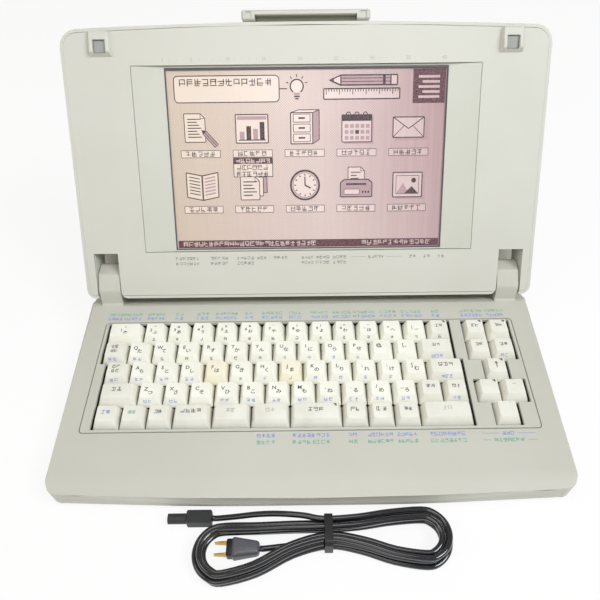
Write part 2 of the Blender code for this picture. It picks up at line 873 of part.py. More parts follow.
def cluster_rows():
    """Left, front, right and back of the cluster's keys, one stretch a row."""
    rows = {}
    for _, column, row in CLUSTER_PLACE_SHARES:
        middle = CLUSTER_CENTRE + column * KEY_PITCH
        left, right = rows.get(row, (middle, middle))
        rows[row] = (min(left, middle), max(right, middle))
    half = KEY_PITCH / 2
    return [
        (left - half, key_row_front(row), right + half, key_row_front(row) + KEY_PITCH)
        for row, (left, right) in rows.items()
    ]


def well_cutters():
    """The openings in the deck: rows of keys with a margin, each reaching into the next row's."""
    cutters = []
    for name, rows in (("main_well", main_block_rows()), ("cluster_well", cluster_rows())):
        for index, (left, front, right, back) in enumerate(rows):
            margin = KEY_WELL_MARGIN
            low = (left - margin, front - margin, -CASE_WALL - OVERRUN)
            high = (right + margin, back + margin, OVERRUN)
            cutters.append(block(f"{name}_{index}", low, high, DECK))
    return cutters


def border_groove():
    """The engraved line round both blocks of keys."""
    left = min(row[0] for row in main_block_rows()) - BORDER_MARGIN
    right = max(row[2] for row in cluster_rows()) + BORDER_MARGIN
    front = KEYBOARD_FRONT - BORDER_MARGIN
    back = key_row_front(0) + KEY_PITCH + BORDER_BACK_MARGIN
    corners = rectangle(left, front, right, back, BORDER_RADIUS)
    outer = rounded(corners)
    groove = flat_piece("border_groove", outer, "XY", -BORDER_GROOVE_DEPTH, OVERRUN, DECK)
    inner = rounded(drawn_in(corners, BORDER_GROOVE_WIDTH))
    low = -BORDER_GROOVE_DEPTH - OVERRUN
    core = flat_piece("border_core", inner, "XY", low, 2 * OVERRUN, DECK)
    return settle(cut(groove, core))


def arm_outline():
    """A hinge arm from the side: it sweeps up out of the deck and turns over the hinge pin."""
    low = trough_bottom() - ARM_SINK
    return rounded(
        (
            (ARM_ROOT_SETBACK - OVERRUN / 2, low, 0),
            (ARM_ROOT_SETBACK - OVERRUN / 2, -ARM_SINK / 2, 0),
            (ARM_ROOT_SETBACK, -ARM_SINK / 2, 0),
            (ARM_ROOT_SETBACK, 0, 0),
            (ARM_FOOT_SETBACK, GAP, ARM_SINK),
            (ARM_FACE_SETBACK, ARM_KNEE_HEIGHT, ARM_KNEE_RADIUS),
            (ARM_TOP_SETBACK, ARM_TOP_HEIGHT, ARM_TOP_RADIUS),
            (ARM_BACK_SETBACK, ARM_TOP_HEIGHT, ARM_TOP_RADIUS * 2),
            (ARM_BACK_SETBACK + ARM_SINK, low, 0),
        )
    )


def hinge_arms():
    arms = []
    for name, side in (("arm_left", -1), ("arm_right", 1)):
        middle = side * ARM_CENTRE
        low = middle - ARM_WIDTH / 2
        arms.append(flat_piece(name, arm_outline(), "YZ", low, low + ARM_WIDTH, DECK))
    return arms


def hinge_bore(name, side, radius, frame, place):
    """A hole along the hinge line, through an arm and the lid's cheeks beside it."""
    length = ARM_WIDTH + 2 * (NOTCH_MARGIN + LID_WALL + PIN_MARGIN)
    start = Vector(place) + Vector((side * ARM_CENTRE - length / 2, 0, 0))
    return rod(name, radius, start, length, "X", frame)


def bay_cutter():
    low = (BAY_LEFT, BAY_FRONT, REAR_HOUSING_TOP - OVERRUN)
    high = (BAY_RIGHT, BAY_BACK + COVER_BACK_GAP, REAR_HOUSING_TOP + OVERRUN)
    return block("bay_opening", low, high, DECK)


def cover_axis():
    """Setback and height of the printer cover's hinge."""
    return BAY_BACK - COVER_AXIS_INSET, REAR_HOUSING_TOP - COVER_AXIS_DROP


def cover_lugs():
    """Lugs under the housing's top, either side of the bay, with the cover's pin holes."""
    setback, height = cover_axis()
    reach = COVER_AXIS_DROP + COVER_PIN_RADIUS
    lugs = []
    holes = []
    for name, inner, side in (("left", BAY_LEFT, -1), ("right", BAY_RIGHT, 1)):
        outer = inner + side * COVER_LUG_WIDTH
        low = (min(inner, outer), setback - reach, height - reach)
        high = (max(inner, outer), setback + reach, REAR_HOUSING_TOP - CASE_WALL / 2)
        lugs.append(block(f"cover_lug_{name}", low, high, DECK))
        start = (min(inner, outer) - OVERRUN, setback, height)
        length = COVER_LUG_WIDTH + 2 * OVERRUN
        holes.append(rod(f"cover_hole_{name}", COVER_PIN_RADIUS + GAP, start, length, "X", DECK))
    return lugs, holes


def knob_nook(wall):
    """The nook in the right corner that leaves the paper knob open to the side and the top."""
    reach = KNOB_RADIUS + KNOB_NOOK_MARGIN + wall
    low = (KNOB_NOOK_LEFT - wall, PLATEN_SETBACK - reach, PLATEN_HEIGHT - reach)
    far = CASE_WIDTH / 2 - CASE_WALL / 2 if wall else CASE_WIDTH / 2 + OVERRUN
    top = REAR_HOUSING_TOP - CASE_WALL / 2 if wall else REAR_HOUSING_TOP + OVERRUN
    return block(f"knob_nook_{'wall' if wall else 'space'}", low, (far, PLATEN_SETBACK + reach, top), DECK)


def switch_pocket(wall):
    """The pocket in the left side that the power rocker turns in."""
    half = SWITCH_LENGTH / 2 + SWITCH_FIT + wall
    tall = SWITCH_TALL / 2 + SWITCH_FIT + wall
    far = -CASE_WIDTH / 2 + POCKET_DEPTH + wall
    near = -CASE_WIDTH / 2 + CASE_WALL / 2 if wall else -CASE_WIDTH / 2 - OVERRUN
    low = (near, SWITCH_SETBACK - half, SWITCH_HEIGHT - tall)
    name = f"switch_pocket_{'wall' if wall else 'space'}"
    return block(name, low, (far, SWITCH_SETBACK + half, SWITCH_HEIGHT + tall), DECK)


def switch_axis():
    return -CASE_WIDTH / 2 + SWITCH_INSET + SWITCH_DEPTH - SWITCH_PIN_RADIUS


def switch_pin_hole():
    reach = SWITCH_TALL / 2 + SWITCH_FIT + SWITCH_PIN_LENGTH
    start = (switch_axis(), SWITCH_SETBACK, SWITCH_HEIGHT - reach)
    return rod("switch_pin_hole", SWITCH_PIN_RADIUS + GAP, start, 2 * reach, "Z", DECK)


def dial_height():
    return REAR_HOUSING_TOP + DIAL_RISE - DIAL_RADIUS


def dial_seat():
    """Two lugs under the housing's top for the contrast dial, their holes and the dial's slot."""
    height = dial_height()
    inner = DIAL_WIDTH / 2 + DIAL_FIT
    lugs = []
    for name, side in (("left", -1), ("right", 1)):
        near = DIAL_CENTRE + side * inner
        far = near + side * DIAL_LUG_WIDTH
        low = (min(near, far), DIAL_SETBACK - DIAL_LUG_LENGTH / 2, height - DIAL_LUG_LENGTH / 2)
        high = (max(near, far), DIAL_SETBACK + DIAL_LUG_LENGTH / 2, REAR_HOUSING_TOP - CASE_WALL / 2)
        lugs.append(block(f"dial_lug_{name}", low, high, DECK))
    reach = inner + DIAL_LUG_WIDTH + GAP
    start = (DIAL_CENTRE - reach, DIAL_SETBACK, height)
    hole = rod("dial_hole", DIAL_SHAFT_RADIUS + GAP, start, 2 * reach, "X", DECK)
    drop = REAR_HOUSING_TOP - CASE_WALL - height
    half = math.sqrt(DIAL_RADIUS**2 - drop**2) + DIAL_FIT
    low = (DIAL_CENTRE - inner, DIAL_SETBACK - half, REAR_HOUSING_TOP - CASE_WALL - DIAL_FIT)
    high = (DIAL_CENTRE + inner, DIAL_SETBACK + half, REAR_HOUSING_TOP + OVERRUN)
    return lugs, [hole, block("dial_slot", low, high, DECK)]


def platen_bore():
    start = (KNOB_NOOK_LEFT - 2 * CASE_WALL, PLATEN_SETBACK, PLATEN_HEIGHT)
    return rod("platen_bore", PLATEN_SHAFT_RADIUS + GAP, start, 4 * CASE_WALL, "X", DECK)


def base_top_shell(skin):
    shell = add_object("base_top_shell", skin.data.copy(), DECK, case_plastic())
    cut(shell, case_band("below_parting", CASE_LOW, -PARTING_DROP))
    lugs, lug_holes = cover_lugs()
    dial_lugs, dial_cuts = dial_seat()
    join(shell, *hinge_arms(), knob_nook(CASE_WALL), switch_pocket(POCKET_WALL), *lugs, *dial_lugs)
    cut(shell, *well_cutters(), border_groove(), bay_cutter(), knob_nook(0), switch_pocket(0))
    cut(shell, switch_pin_hole(), platen_bore(), *lug_holes, *dial_cuts)
    for name, side in (("left", -1), ("right", 1)):
        place = (0, HINGE_SETBACK, HINGE_HEIGHT)
        cut(shell, hinge_bore(f"arm_bore_{name}", side, PIN_RADIUS + GAP, DECK, place))
    return shell


def post(name, x, setback, top):
    """A post from the case's floor up to what it carries."""
    low = underside_height(setback) + CASE_WALL / 2
    return rod(name, POST_RADIUS, (x, setback, low), top - GAP - low, "Z", DECK, sides=POST_SIDES)


def board_posts():
    x = BOARD_HALF_WIDTH - BOARD_POST_INSET
    top = -BOARD_DROP - BOARD_THICKNESS
    places = [
        (side * x, setback)
        for side in (-1, 1)
        for setback in (BOARD_FRONT + BOARD_POST_INSET, BOARD_BACK - BOARD_POST_INSET)
    ]
    return [post(f"board_post_{i}", x, setback, top) for i, (x, setback) in enumerate(places)]


def chassis_posts():
    half = (BAY_RIGHT - BAY_LEFT) / 2
    middle = (BAY_RIGHT + BAY_LEFT) / 2
    top = -CHASSIS_FLOOR_DROP - CHASSIS_WALL
    posts = []
    for share in CHASSIS_POST_SHARES:
        for setback in (CHASSIS_FRONT + BOARD_POST_INSET, CHASSIS_BACK - BOARD_POST_INSET):
            posts.append(post(f"chassis_post_{len(posts)}", middle + share * half, setback, top))
    return posts


def drive_low():
    return -DRIVE_TOP_DROP - DRIVE_HEIGHT


def drive_left():
    return CASE_WIDTH / 2 - GAP - DRIVE_DEPTH


def drive_posts():
    posts = []
    for x in (drive_left() + DRIVE_POST_INSET, drive_left() + DRIVE_DEPTH - DRIVE_POST_INSET):
        for setback in (DRIVE_FRONT + DRIVE_POST_INSET, DRIVE_FRONT + DRIVE_WIDTH - DRIVE_POST_INSET):
            posts.append(post(f"drive_post_{len(posts)}", x, setback, drive_low()))
    return posts


def supply_posts():
    posts = []
    for x in (SUPPLY_LEFT + POST_RADIUS, SUPPLY_LEFT + SUPPLY_WIDTH - POST_RADIUS):
        for setback in (SUPPLY_FRONT + POST_RADIUS, SUPPLY_FRONT + SUPPLY_DEPTH - POST_RADIUS):
            posts.append(post(f"supply_post_{len(posts)}", x, setback, -SUPPLY_DROP))
    return posts


def drive_opening():
    low = (CASE_WIDTH / 2 - 2 * CASE_WALL, DRIVE_FRONT - GAP, drive_low() - GAP)
    high = (CASE_WIDTH / 2 + OVERRUN, DRIVE_FRONT + DRIVE_WIDTH + GAP, -DRIVE_TOP_DROP + GAP)
    return block("drive_opening", low, high, DECK)


def inlet_box(name, margin, front, back, material=None):
    half = INLET_WIDTH / 2 + margin
    low = (INLET_CENTRE - half, front, -INLET_DROP - INLET_HEIGHT - margin)
    return block(name, low, (INLET_CENTRE + half, back, -INLET_DROP + margin), DECK, material)


def vent_slots():
    slots = []
    for index in range(VENT_COUNT):
        middle = (index - (VENT_COUNT - 1) / 2) * VENT_PITCH
        low = (middle - VENT_WIDTH / 2, CASE_DEPTH - 2 * CASE_WALL, -VENT_DROP - VENT_HEIGHT)
        high = (middle + VENT_WIDTH / 2, CASE_DEPTH + OVERRUN, -VENT_DROP)
        slots.append(block(f"vent_{index}", low, high, DECK))
    return slots


def foot_places():
    x = CASE_WIDTH / 2 - FOOT_INSET
    return {
        "foot_front_left": (-x, FOOT_INSET),
        "foot_front_right": (x, FOOT_INSET),
        "foot_rear_left": (-x, CASE_DEPTH - FOOT_INSET),
        "foot_rear_right": (x, CASE_DEPTH - FOOT_INSET),
    }


def floor_frame(name, x, setback):
    """A frame level with the table, on the case's underside."""
    frame = new_frame(name + "_frame", DECK, (x, setback, underside_height(setback)), -DECK_TILT_DEG)
    return frame


def foot(name, x, setback, material=None, margin=0):
    """A rubber foot, or with a margin the shallow socket that it sits in."""
    frame = floor_frame(name, x, setback)
    low = -FOOT_HEIGHT if not margin else -OVERRUN
    top = FOOT_SOCKET - GAP if not margin else FOOT_SOCKET
    radius = FOOT_RADIUS + margin
    return rod(name, radius, (0, 0, low), top - low, "Z", frame, material)


def base_bottom_shell(skin):
    shell = add_object("base_bottom_shell", skin.data.copy(), DECK, case_plastic())
    cut(shell, case_band("above_parting", -PARTING_DROP - GAP, CASE_HIGH))
    join(shell, *board_posts(), *chassis_posts(), *drive_posts(), *supply_posts())
    cut(shell, drive_opening(), *vent_slots())
    cut(shell, inlet_box("inlet_opening", GAP, CASE_DEPTH - 2 * CASE_WALL, CASE_DEPTH + OVERRUN))
    for name, (x, setback) in foot_places().items():
        cut(shell, foot(name + "_socket", x, setback, margin=GAP))
    return shell


# Keyboard


def keycap_shape(width, stem_low):
    """A keycap centred on its place: steep front, narrow top and a stem to its guide."""
    shape = bmesh.new()
    bmesh.ops.create_cube(shape, size=1)
    half_width = (width - KEY_GAP) / 2
    half_depth = (KEY_PITCH - KEY_GAP) / 2
    for vert in shape.verts:
        right = vert.co.x > 0
        back = vert.co.y > 0
        top = vert.co.z > 0
        x = half_width - (KEY_SIDE_INSET if top else 0)
        y = half_depth - ((KEY_BACK_INSET if back else KEY_FRONT_INSET) if top else 0)
        vert.co = (x if right else -x, y if back else -y, KEY_TOP_HEIGHT if top else -KEY_SKIRT_DROP)
    under = min(shape.faces, key=lambda face: face.calc_center_median().z)
    upper_edges = [edge for edge in shape.edges if edge not in under.edges[:]]
    bmesh.ops.bevel(shape, geom=upper_edges, offset=KEY_EDGE_RADIUS, segments=1, affect="EDGES")
    under = min(shape.faces, key=lambda face: face.calc_center_median().z)
    ring = bmesh.ops.extrude_face_region(shape, geom=[under])["geom"]
    corners = [item for item in ring if isinstance(item, bmesh.types.BMVert)]
    bmesh.ops.delete(shape, geom=[under], context="FACES_ONLY")
    shrink = KEY_STEM_WIDTH / 2
    for vert in corners:
        vert.co.x *= shrink / half_width
        vert.co.y *= shrink / half_depth
    stem = [item for item in ring if isinstance(item, bmesh.types.BMFace)]
    end = bmesh.ops.extrude_face_region(shape, geom=stem)["geom"]
    bmesh.ops.delete(shape, geom=stem, context="FACES_ONLY")
    for item in end:
        if isinstance(item, bmesh.types.BMVert):
            item.co.z = stem_low
    return shape


def stem_low():
    """A moving key's stem ends half way through its guide in the frame's plate."""
    return -FRAME_PLATE_DROP - FRAME_PLATE_THICKNESS / 2


def row_keys(row):
    """Centre and width of each key of a main-block row."""
    keys = []
    left, front, _, _ = main_block_rows()[row]
    for share in ROW_WIDTH_SHARES[row]:
        width = share * KEY_PITCH
        keys.append((left + width / 2, front + KEY_PITCH / 2, width))
        left += width
    return keys


def moving_keys():
    """Name, centre and width of each key that has a node of its own."""
    keys = [(name, *key) for name, key in zip(BOTTOM_ROW_NAMES, row_keys(BOTTOM_ROW))]
    for row, names in enumerate(ROW_END_NAMES):
        ends = (row_keys(row)[0], row_keys(row)[-1])
        keys += [(name, *key) for name, key in zip(names, ends) if name]
    for name, column, row in CLUSTER_PLACE_SHARES:
        x = CLUSTER_CENTRE + column * KEY_PITCH
        keys.append((name, x, key_row_front(row) + KEY_PITCH / 2, KEY_PITCH))
    return keys


def key(name, x, y, width):
    mesh = mesh_of(name, keycap_shape(width, stem_low()))
    cap = add_object(name, mesh, DECK, function_key_plastic())
    cap.location = (x, y, 0)
    return cap


def letter_keys():
    """The letter and number keys, one mesh, with stems that reach into the frame's plate."""
    whole = bmesh.new()
    own = [place[1:] for place in moving_keys()]
    for row in range(BOTTOM_ROW):
        for x, y, width in row_keys(row):
            if (x, y, width) in own:
                continue
            shape = keycap_shape(width, stem_low())
            bmesh.ops.translate(shape, vec=(x, y, 0), verts=shape.verts)
            mesh = bpy.data.meshes.new("letter_key")
            shape.to_mesh(mesh)
            shape.free()
            whole.from_mesh(mesh)
            bpy.data.meshes.remove(mesh)
    return add_object("letter_keys", mesh_of("letter_keys", whole), DECK)


def stem_guides():
    """The guides that the moving keys' stems slide in, as one cutter."""
    whole = bmesh.new()
    side = KEY_STEM_WIDTH + 2 * GAP
    for _, x, y, _ in moving_keys():
        place = Matrix.Translation((x, y, -FRAME_PLATE_DROP))
        size = Matrix.Diagonal((side, side, 2 * OVERRUN, 1))
        bmesh.ops.create_cube(whole, size=1, matrix=place @ size)
    return add_object("stem_guides", mesh_of("stem_guides", whole), DECK)


def keyboard_frame():
    left = min(row[0] for row in main_block_rows()) - FRAME_MARGIN
    right = max(row[2] for row in cluster_rows()) + FRAME_MARGIN
    front = KEYBOARD_FRONT - FRAME_MARGIN
    back = key_row_front(0) + KEY_PITCH + FRAME_MARGIN
    low = -FRAME_PLATE_DROP - FRAME_PLATE_THICKNESS
    high = -CASE_WALL - GAP
    frame = block("keyboard_frame", (left, front, low), (right, back, high), DECK, key_plastic())
    inner_low = (left + FRAME_WALL, front + FRAME_WALL, -FRAME_PLATE_DROP)
    inner_high = (right - FRAME_WALL, back - FRAME_WALL, OVERRUN)
    cut(frame, block("frame_space", inner_low, inner_high, DECK), stem_guides())
    return join(frame, letter_keys())


def main_board():
    low = (-BOARD_HALF_WIDTH, BOARD_FRONT, -BOARD_DROP - BOARD_THICKNESS)
    board = block("main_board", low, (BOARD_HALF_WIDTH, BOARD_BACK, -BOARD_DROP), DECK, board_green())
    middle = (BOARD_FRONT + BOARD_BACK) / 2
    under = -BOARD_DROP - BOARD_THICKNESS
    for index, share in enumerate(CHIP_SHARES):
        x = share * BOARD_HALF_WIDTH
        low = (x - CHIP_SIZE / 2, middle - CHIP_SIZE / 2, under - CHIP_HEIGHT)
        high = (x + CHIP_SIZE / 2, middle + CHIP_SIZE / 2, -BOARD_DROP - BOARD_THICKNESS / 2)
        join(board, block(f"chip_{index}", low, high, DECK))
    return board


# Rear housing: printer, drive, supply and controls


def chassis_ends():
    """Inner faces of the chassis's end walls."""
    return BAY_LEFT + CHASSIS_INSET + CHASSIS_WALL, BAY_RIGHT - CHASSIS_INSET - CHASSIS_WALL


def printer_chassis():
    left, right = chassis_ends()
    wall = CHASSIS_WALL
    low = -CHASSIS_FLOOR_DROP - wall
    outline = [
        Vector(point)
        for point in (
            (left - wall, low),
            (right + wall, low),
            (right + wall, CHASSIS_TOP),
            (right, CHASSIS_TOP),
            (right, low + wall),
            (left, low + wall),
            (left, CHASSIS_TOP),
            (left - wall, CHASSIS_TOP),
        )
    ]
    chassis = flat_piece("printer_chassis", outline, "XZ", CHASSIS_FRONT, CHASSIS_BACK, DECK, steel())
    length = right - left + 4 * wall
    shaft = (left - 2 * wall, PLATEN_SETBACK, PLATEN_HEIGHT)
    rail = (left - 2 * wall, CARRIAGE_RAIL_SETBACK, CARRIAGE_RAIL_HEIGHT)
    cut(chassis, rod("shaft_holes", PLATEN_SHAFT_RADIUS + GAP, shaft, length, "X", DECK))
    pinion = (left - 2 * wall, pinion_setback(), PLATEN_HEIGHT)
    cut(chassis, rod("pinion_hole", MOTOR_SHAFT_RADIUS + GAP, pinion, 3 * wall, "X", DECK))
    return cut(chassis, rod("rail_holes", CARRIAGE_RAIL_RADIUS + GAP, rail, length, "X", DECK))


def platen_axis():
    return 0, PLATEN_SETBACK, PLATEN_HEIGHT


def platen_roller():
    """The rubber roller with its steel shaft, which runs out to the gear and the knob."""
    left, right = chassis_ends()
    start = (left + PLATEN_MARGIN, PLATEN_SETBACK, PLATEN_HEIGHT)
    length = right - left - 2 * PLATEN_MARGIN
    roller = rod("platen_roller", PLATEN_RADIUS, start, length, "X", DECK, rubber())
    reach = CHASSIS_WALL + 2 * GAP + GEAR_WIDTH
    shaft_start = (left - reach, PLATEN_SETBACK, PLATEN_HEIGHT)
    shaft_end = KNOB_NOOK_LEFT + KNOB_LENGTH / 2
    shaft_length = shaft_end - shaft_start[0]
    shaft = rod("platen_shaft", PLATEN_SHAFT_RADIUS, shaft_start, shaft_length, "X", DECK)
    return turn_about(join(roller, shaft), platen_axis())


def fluted_wheel(name, count, radius, depth, start, length, frame, material):
    outline = star_outline(count, radius - depth, radius, FLUTE_ROOT_SHARE, FLUTE_TIP_SHARE)
    outline = moved(outline, start[1], start[2])
    return flat_piece(name, outline, "YZ", start[0], start[0] + length, frame, material)


def platen_knob():
    start = (KNOB_NOOK_LEFT + 2 * GAP + CASE_WALL / 2, PLATEN_SETBACK, PLATEN_HEIGHT)
    knob = fluted_wheel(
        "platen_knob", KNOB_FLUTES, KNOB_RADIUS, KNOB_FLUTE_DEPTH, start, KNOB_LENGTH, DECK, dark_plastic()
    )
    bore = (start[0] - OVERRUN, start[1], start[2])
    depth = KNOB_NOOK_LEFT + KNOB_LENGTH / 2 + GAP - bore[0]
    cut(knob, rod("knob_bore", PLATEN_SHAFT_RADIUS + GAP, bore, depth, "X", DECK))
    return turn_about(knob, platen_axis())


def gear_left():
    return chassis_ends()[0] - CHASSIS_WALL - 2 * GAP - GEAR_WIDTH


def gear(name, teeth, radius, setback, turn):
    """A spur gear across the X axis, its teeth slim enough to run free in mesh."""
    outline = star_outline(
        teeth, radius - TOOTH_DEPTH, radius, TOOTH_ROOT_SHARE, TOOTH_TIP_SHARE, turn
    )
    outline = moved(outline, setback, PLATEN_HEIGHT)
    return flat_piece(name, outline, "YZ", gear_left(), gear_left() + GEAR_WIDTH, DECK, grey_plastic())


def pinion_setback():
    """The pinion's place behind the platen gear, its teeth between the gear's teeth."""
    return PLATEN_SETBACK + GEAR_RADIUS + PINION_RADIUS - TOOTH_DEPTH + GEAR_BACKLASH


def platen_gear():
    wheel = gear("platen_gear", GEAR_TEETH, GEAR_RADIUS, PLATEN_SETBACK, 0)
    start = (gear_left() - OVERRUN, PLATEN_SETBACK, PLATEN_HEIGHT)
    length = 2 * OVERRUN + GEAR_WIDTH
    cut(wheel, rod("gear_bore", PLATEN_SHAFT_RADIUS + GAP, start, length, "X", DECK))
    return turn_about(wheel, platen_axis())


def feed_pinion():
    """The pinion, a gap between its teeth facing the gear, on its shaft through the left wall."""
    turn = math.pi / PINION_TEETH * (1 + PINION_TEETH % 2)
    pinion = gear("feed_pinion", PINION_TEETH, PINION_RADIUS, pinion_setback(), turn)
    start = (gear_left() + GEAR_WIDTH / 2, pinion_setback(), PLATEN_HEIGHT)
    length = chassis_ends()[0] - start[0]
    join(pinion, rod("pinion_shaft", MOTOR_SHAFT_RADIUS, start, length, "X", DECK))
    return turn_about(pinion, start)


def feed_motor():
    """The paper feed motor inside the chassis, behind the left wall."""
    start = (chassis_ends()[0] + GAP, pinion_setback(), PLATEN_HEIGHT)
    return rod("feed_motor", MOTOR_RADIUS, start, MOTOR_LENGTH, "X", DECK, steel())


def carriage_rail():
    left, right = chassis_ends()
    start = (left - CHASSIS_WALL, CARRIAGE_RAIL_SETBACK, CARRIAGE_RAIL_HEIGHT)
    length = right - left + 2 * CHASSIS_WALL
    return rod("carriage_rail", CARRIAGE_RAIL_RADIUS, start, length, "X", DECK, steel())


def carriage_left():
    return chassis_ends()[0] + CARRIAGE_HOME_GAP + (CASSETTE_LENGTH - CARRIAGE_LENGTH) / 2


def carriage_place():
    """A point of the rail's axis at the carriage's left end."""
    return carriage_left(), CARRIAGE_RAIL_SETBACK, CARRIAGE_RAIL_HEIGHT


def print_carriage():
    """The carriage on its rail, with the print head standing behind the platen."""
    x = carriage_left()
    low = (x, CARRIAGE_FRONT, CARRIAGE_LOW)
    high = (x + CARRIAGE_LENGTH, CARRIAGE_BACK, CARRIAGE_HIGH)
    carriage = block("print_carriage", low, high, DECK, dark_plastic())
    middle = x + CARRIAGE_LENGTH / 2
    head_front = PLATEN_SETBACK + PLATEN_RADIUS + HEAD_GAP
    head_low = (middle - HEAD_WIDTH / 2, head_front, 0)
    head_high = (middle + HEAD_WIDTH / 2, head_front + HEAD_THICKNESS, HEAD_HIGH)
    arm_low = (middle - HEAD_WIDTH / 2, head_front, CARRIAGE_LOW)
    arm_high = (middle + HEAD_WIDTH / 2, CARRIAGE_FRONT + HEAD_THICKNESS, PLATEN_SHAFT_RADIUS)
    join(carriage, block("print_head", head_low, head_high, DECK))
    join(carriage, block("head_arm", arm_low, arm_high, DECK))
    start = (x - OVERRUN, CARRIAGE_RAIL_SETBACK, CARRIAGE_RAIL_HEIGHT)
    length = CARRIAGE_LENGTH + 2 * OVERRUN
    cut(carriage, rod("rail_bore", CARRIAGE_RAIL_RADIUS + GAP, start, length, "X", DECK))
    return turn_about(carriage, carriage_place())


def ribbon_cassette():
    x = carriage_left() + (CARRIAGE_LENGTH - CASSETTE_LENGTH) / 2
    front = PLATEN_SETBACK + PLATEN_RADIUS + HEAD_GAP + HEAD_THICKNESS + GAP
    back = CARRIAGE_BACK
    low = CARRIAGE_HIGH + GAP
    corners = ((x, front, low), (x + CASSETTE_LENGTH, back, low + CASSETTE_HEIGHT))
    cassette = block("ribbon_cassette", *corners, DECK, grey_plastic(), CASSETTE_BEVEL)
    for index, share in enumerate(CASSETTE_HUB_SHARES):
        hub = (x + share * CASSETTE_LENGTH, (front + back) / 2, low + CASSETTE_HEIGHT / 2)
        length = CASSETTE_HEIGHT / 2 + CASSETTE_HUB_RISE
        join(cassette, rod(f"hub_{index}", CASSETTE_HUB_RADIUS, hub, length, "Z", DECK))
    return turn_about(cassette, carriage_place())


def printer_cover():
    """The cover over the bay: its front edge leaves the paper slot, and its ears carry the pins."""
    setback, height = cover_axis()
    left = BAY_LEFT + COVER_FIT
    right = BAY_RIGHT - COVER_FIT
    front = BAY_FRONT + PAPER_SLOT
    top = REAR_HOUSING_TOP
    under = top - COVER_THICKNESS
    outline = rounded(
        (
            (front, top - COVER_LIP_DEPTH, 0),
            (front, top, COVER_THICKNESS / 2),
            (BAY_BACK, top, 0),
            (BAY_BACK, under, 0),
            (front + COVER_THICKNESS, under, 0),
            (front + COVER_THICKNESS, top - COVER_LIP_DEPTH, 0),
        )
    )
    frame = bpy.data.objects.new("cover_hinge", None)
    PARTS.objects.link(frame)
    frame.parent = DECK
    frame.location = (0, setback, height)
    outline = moved(outline, -setback, -height)
    cover = flat_piece("printer_cover", outline, "YZ", left, right, frame, case_plastic())
    for name, inner, side in (("left", left, 1), ("right", right, -1)):
        outer = inner + side * COVER_EAR_WIDTH
        reach = COVER_PIN_RADIUS + COVER_FIT
        low = (min(inner, outer), -COVER_EAR_LENGTH, -reach)
        ear = block(f"cover_ear_{name}", low, (max(inner, outer), reach, under - height + GAP), frame)
        length = COVER_PIN_LENGTH + COVER_EAR_WIDTH / 2
        if side > 0:
            start = (inner - COVER_PIN_LENGTH, 0, 0)
        else:
            start = (inner - COVER_EAR_WIDTH / 2, 0, 0)
        join(cover, ear, rod(f"cover_pin_{name}", COVER_PIN_RADIUS, start, length, "X", frame))
    return cover


def floppy_drive():
    left = drive_left()
    right = left + DRIVE_DEPTH
    low = (left, DRIVE_FRONT, drive_low())
    high = (right, DRIVE_FRONT + DRIVE_WIDTH, -DRIVE_TOP_DROP)
    drive = block("floppy_drive", low, high, DECK, dark_plastic())
    side = (DRIVE_WIDTH - DISK_SLOT_WIDTH) / 2
    slot_low = (right - DISK_SLOT_DEPTH, DRIVE_FRONT + side, -DISK_SLOT_DROP - DISK_SLOT_HEIGHT)
    slot_high = (right + OVERRUN, DRIVE_FRONT + side + DISK_SLOT_WIDTH, -DISK_SLOT_DROP)
    return cut(drive, block("disk_slot", slot_low, slot_high, DECK), eject_block("eject_hole", GAP))


def eject_block(name, margin, material=None):
    """The eject button, or with a margin the hole that it slides in."""
    right = drive_left() + DRIVE_DEPTH - EJECT_SETBACK
    back = DRIVE_FRONT + DRIVE_WIDTH - EJECT_INSET
    low_z = drive_low() + EJECT_RISE
    depth = EJECT_DEPTH + (EJECT_TRAVEL + margin if margin else 0)
    reach = OVERRUN if margin else 0
    low = (right - depth, back - EJECT_WIDTH - margin, low_z - margin)
    return block(name, low, (right + reach, back + margin, low_z + EJECT_HEIGHT + margin), DECK, material)


def floppy_eject_button():
    back = DRIVE_FRONT + DRIVE_WIDTH - EJECT_INSET
    place = (CASE_WIDTH / 2, back - EJECT_WIDTH / 2, drive_low() + EJECT_RISE + EJECT_HEIGHT / 2)
    return turn_about(eject_block("floppy_eject_button", 0, case_plastic()), place)


def power_supply():
    """The supply's board with its transformer and its smoothing block."""
    low = (SUPPLY_LEFT, SUPPLY_FRONT, -SUPPLY_DROP)
    high = (SUPPLY_LEFT + SUPPLY_WIDTH, SUPPLY_FRONT + SUPPLY_DEPTH, -SUPPLY_DROP + BOARD_THICKNESS)
    supply = block("power_supply", low, high, DECK, board_green())
    for index, (first, last) in enumerate(SUPPLY_BLOCK_SHARES):
        low = (
            SUPPLY_LEFT + first * SUPPLY_WIDTH,
            SUPPLY_FRONT + POST_RADIUS,
            -SUPPLY_DROP + BOARD_THICKNESS / 2,
        )
        high = (
            SUPPLY_LEFT + last * SUPPLY_WIDTH,
            SUPPLY_FRONT + SUPPLY_DEPTH / 2,
            -SUPPLY_DROP + SUPPLY_BLOCK_HEIGHT,
        )
        join(supply, block(f"supply_block_{index}", low, high, DECK))
    return supply


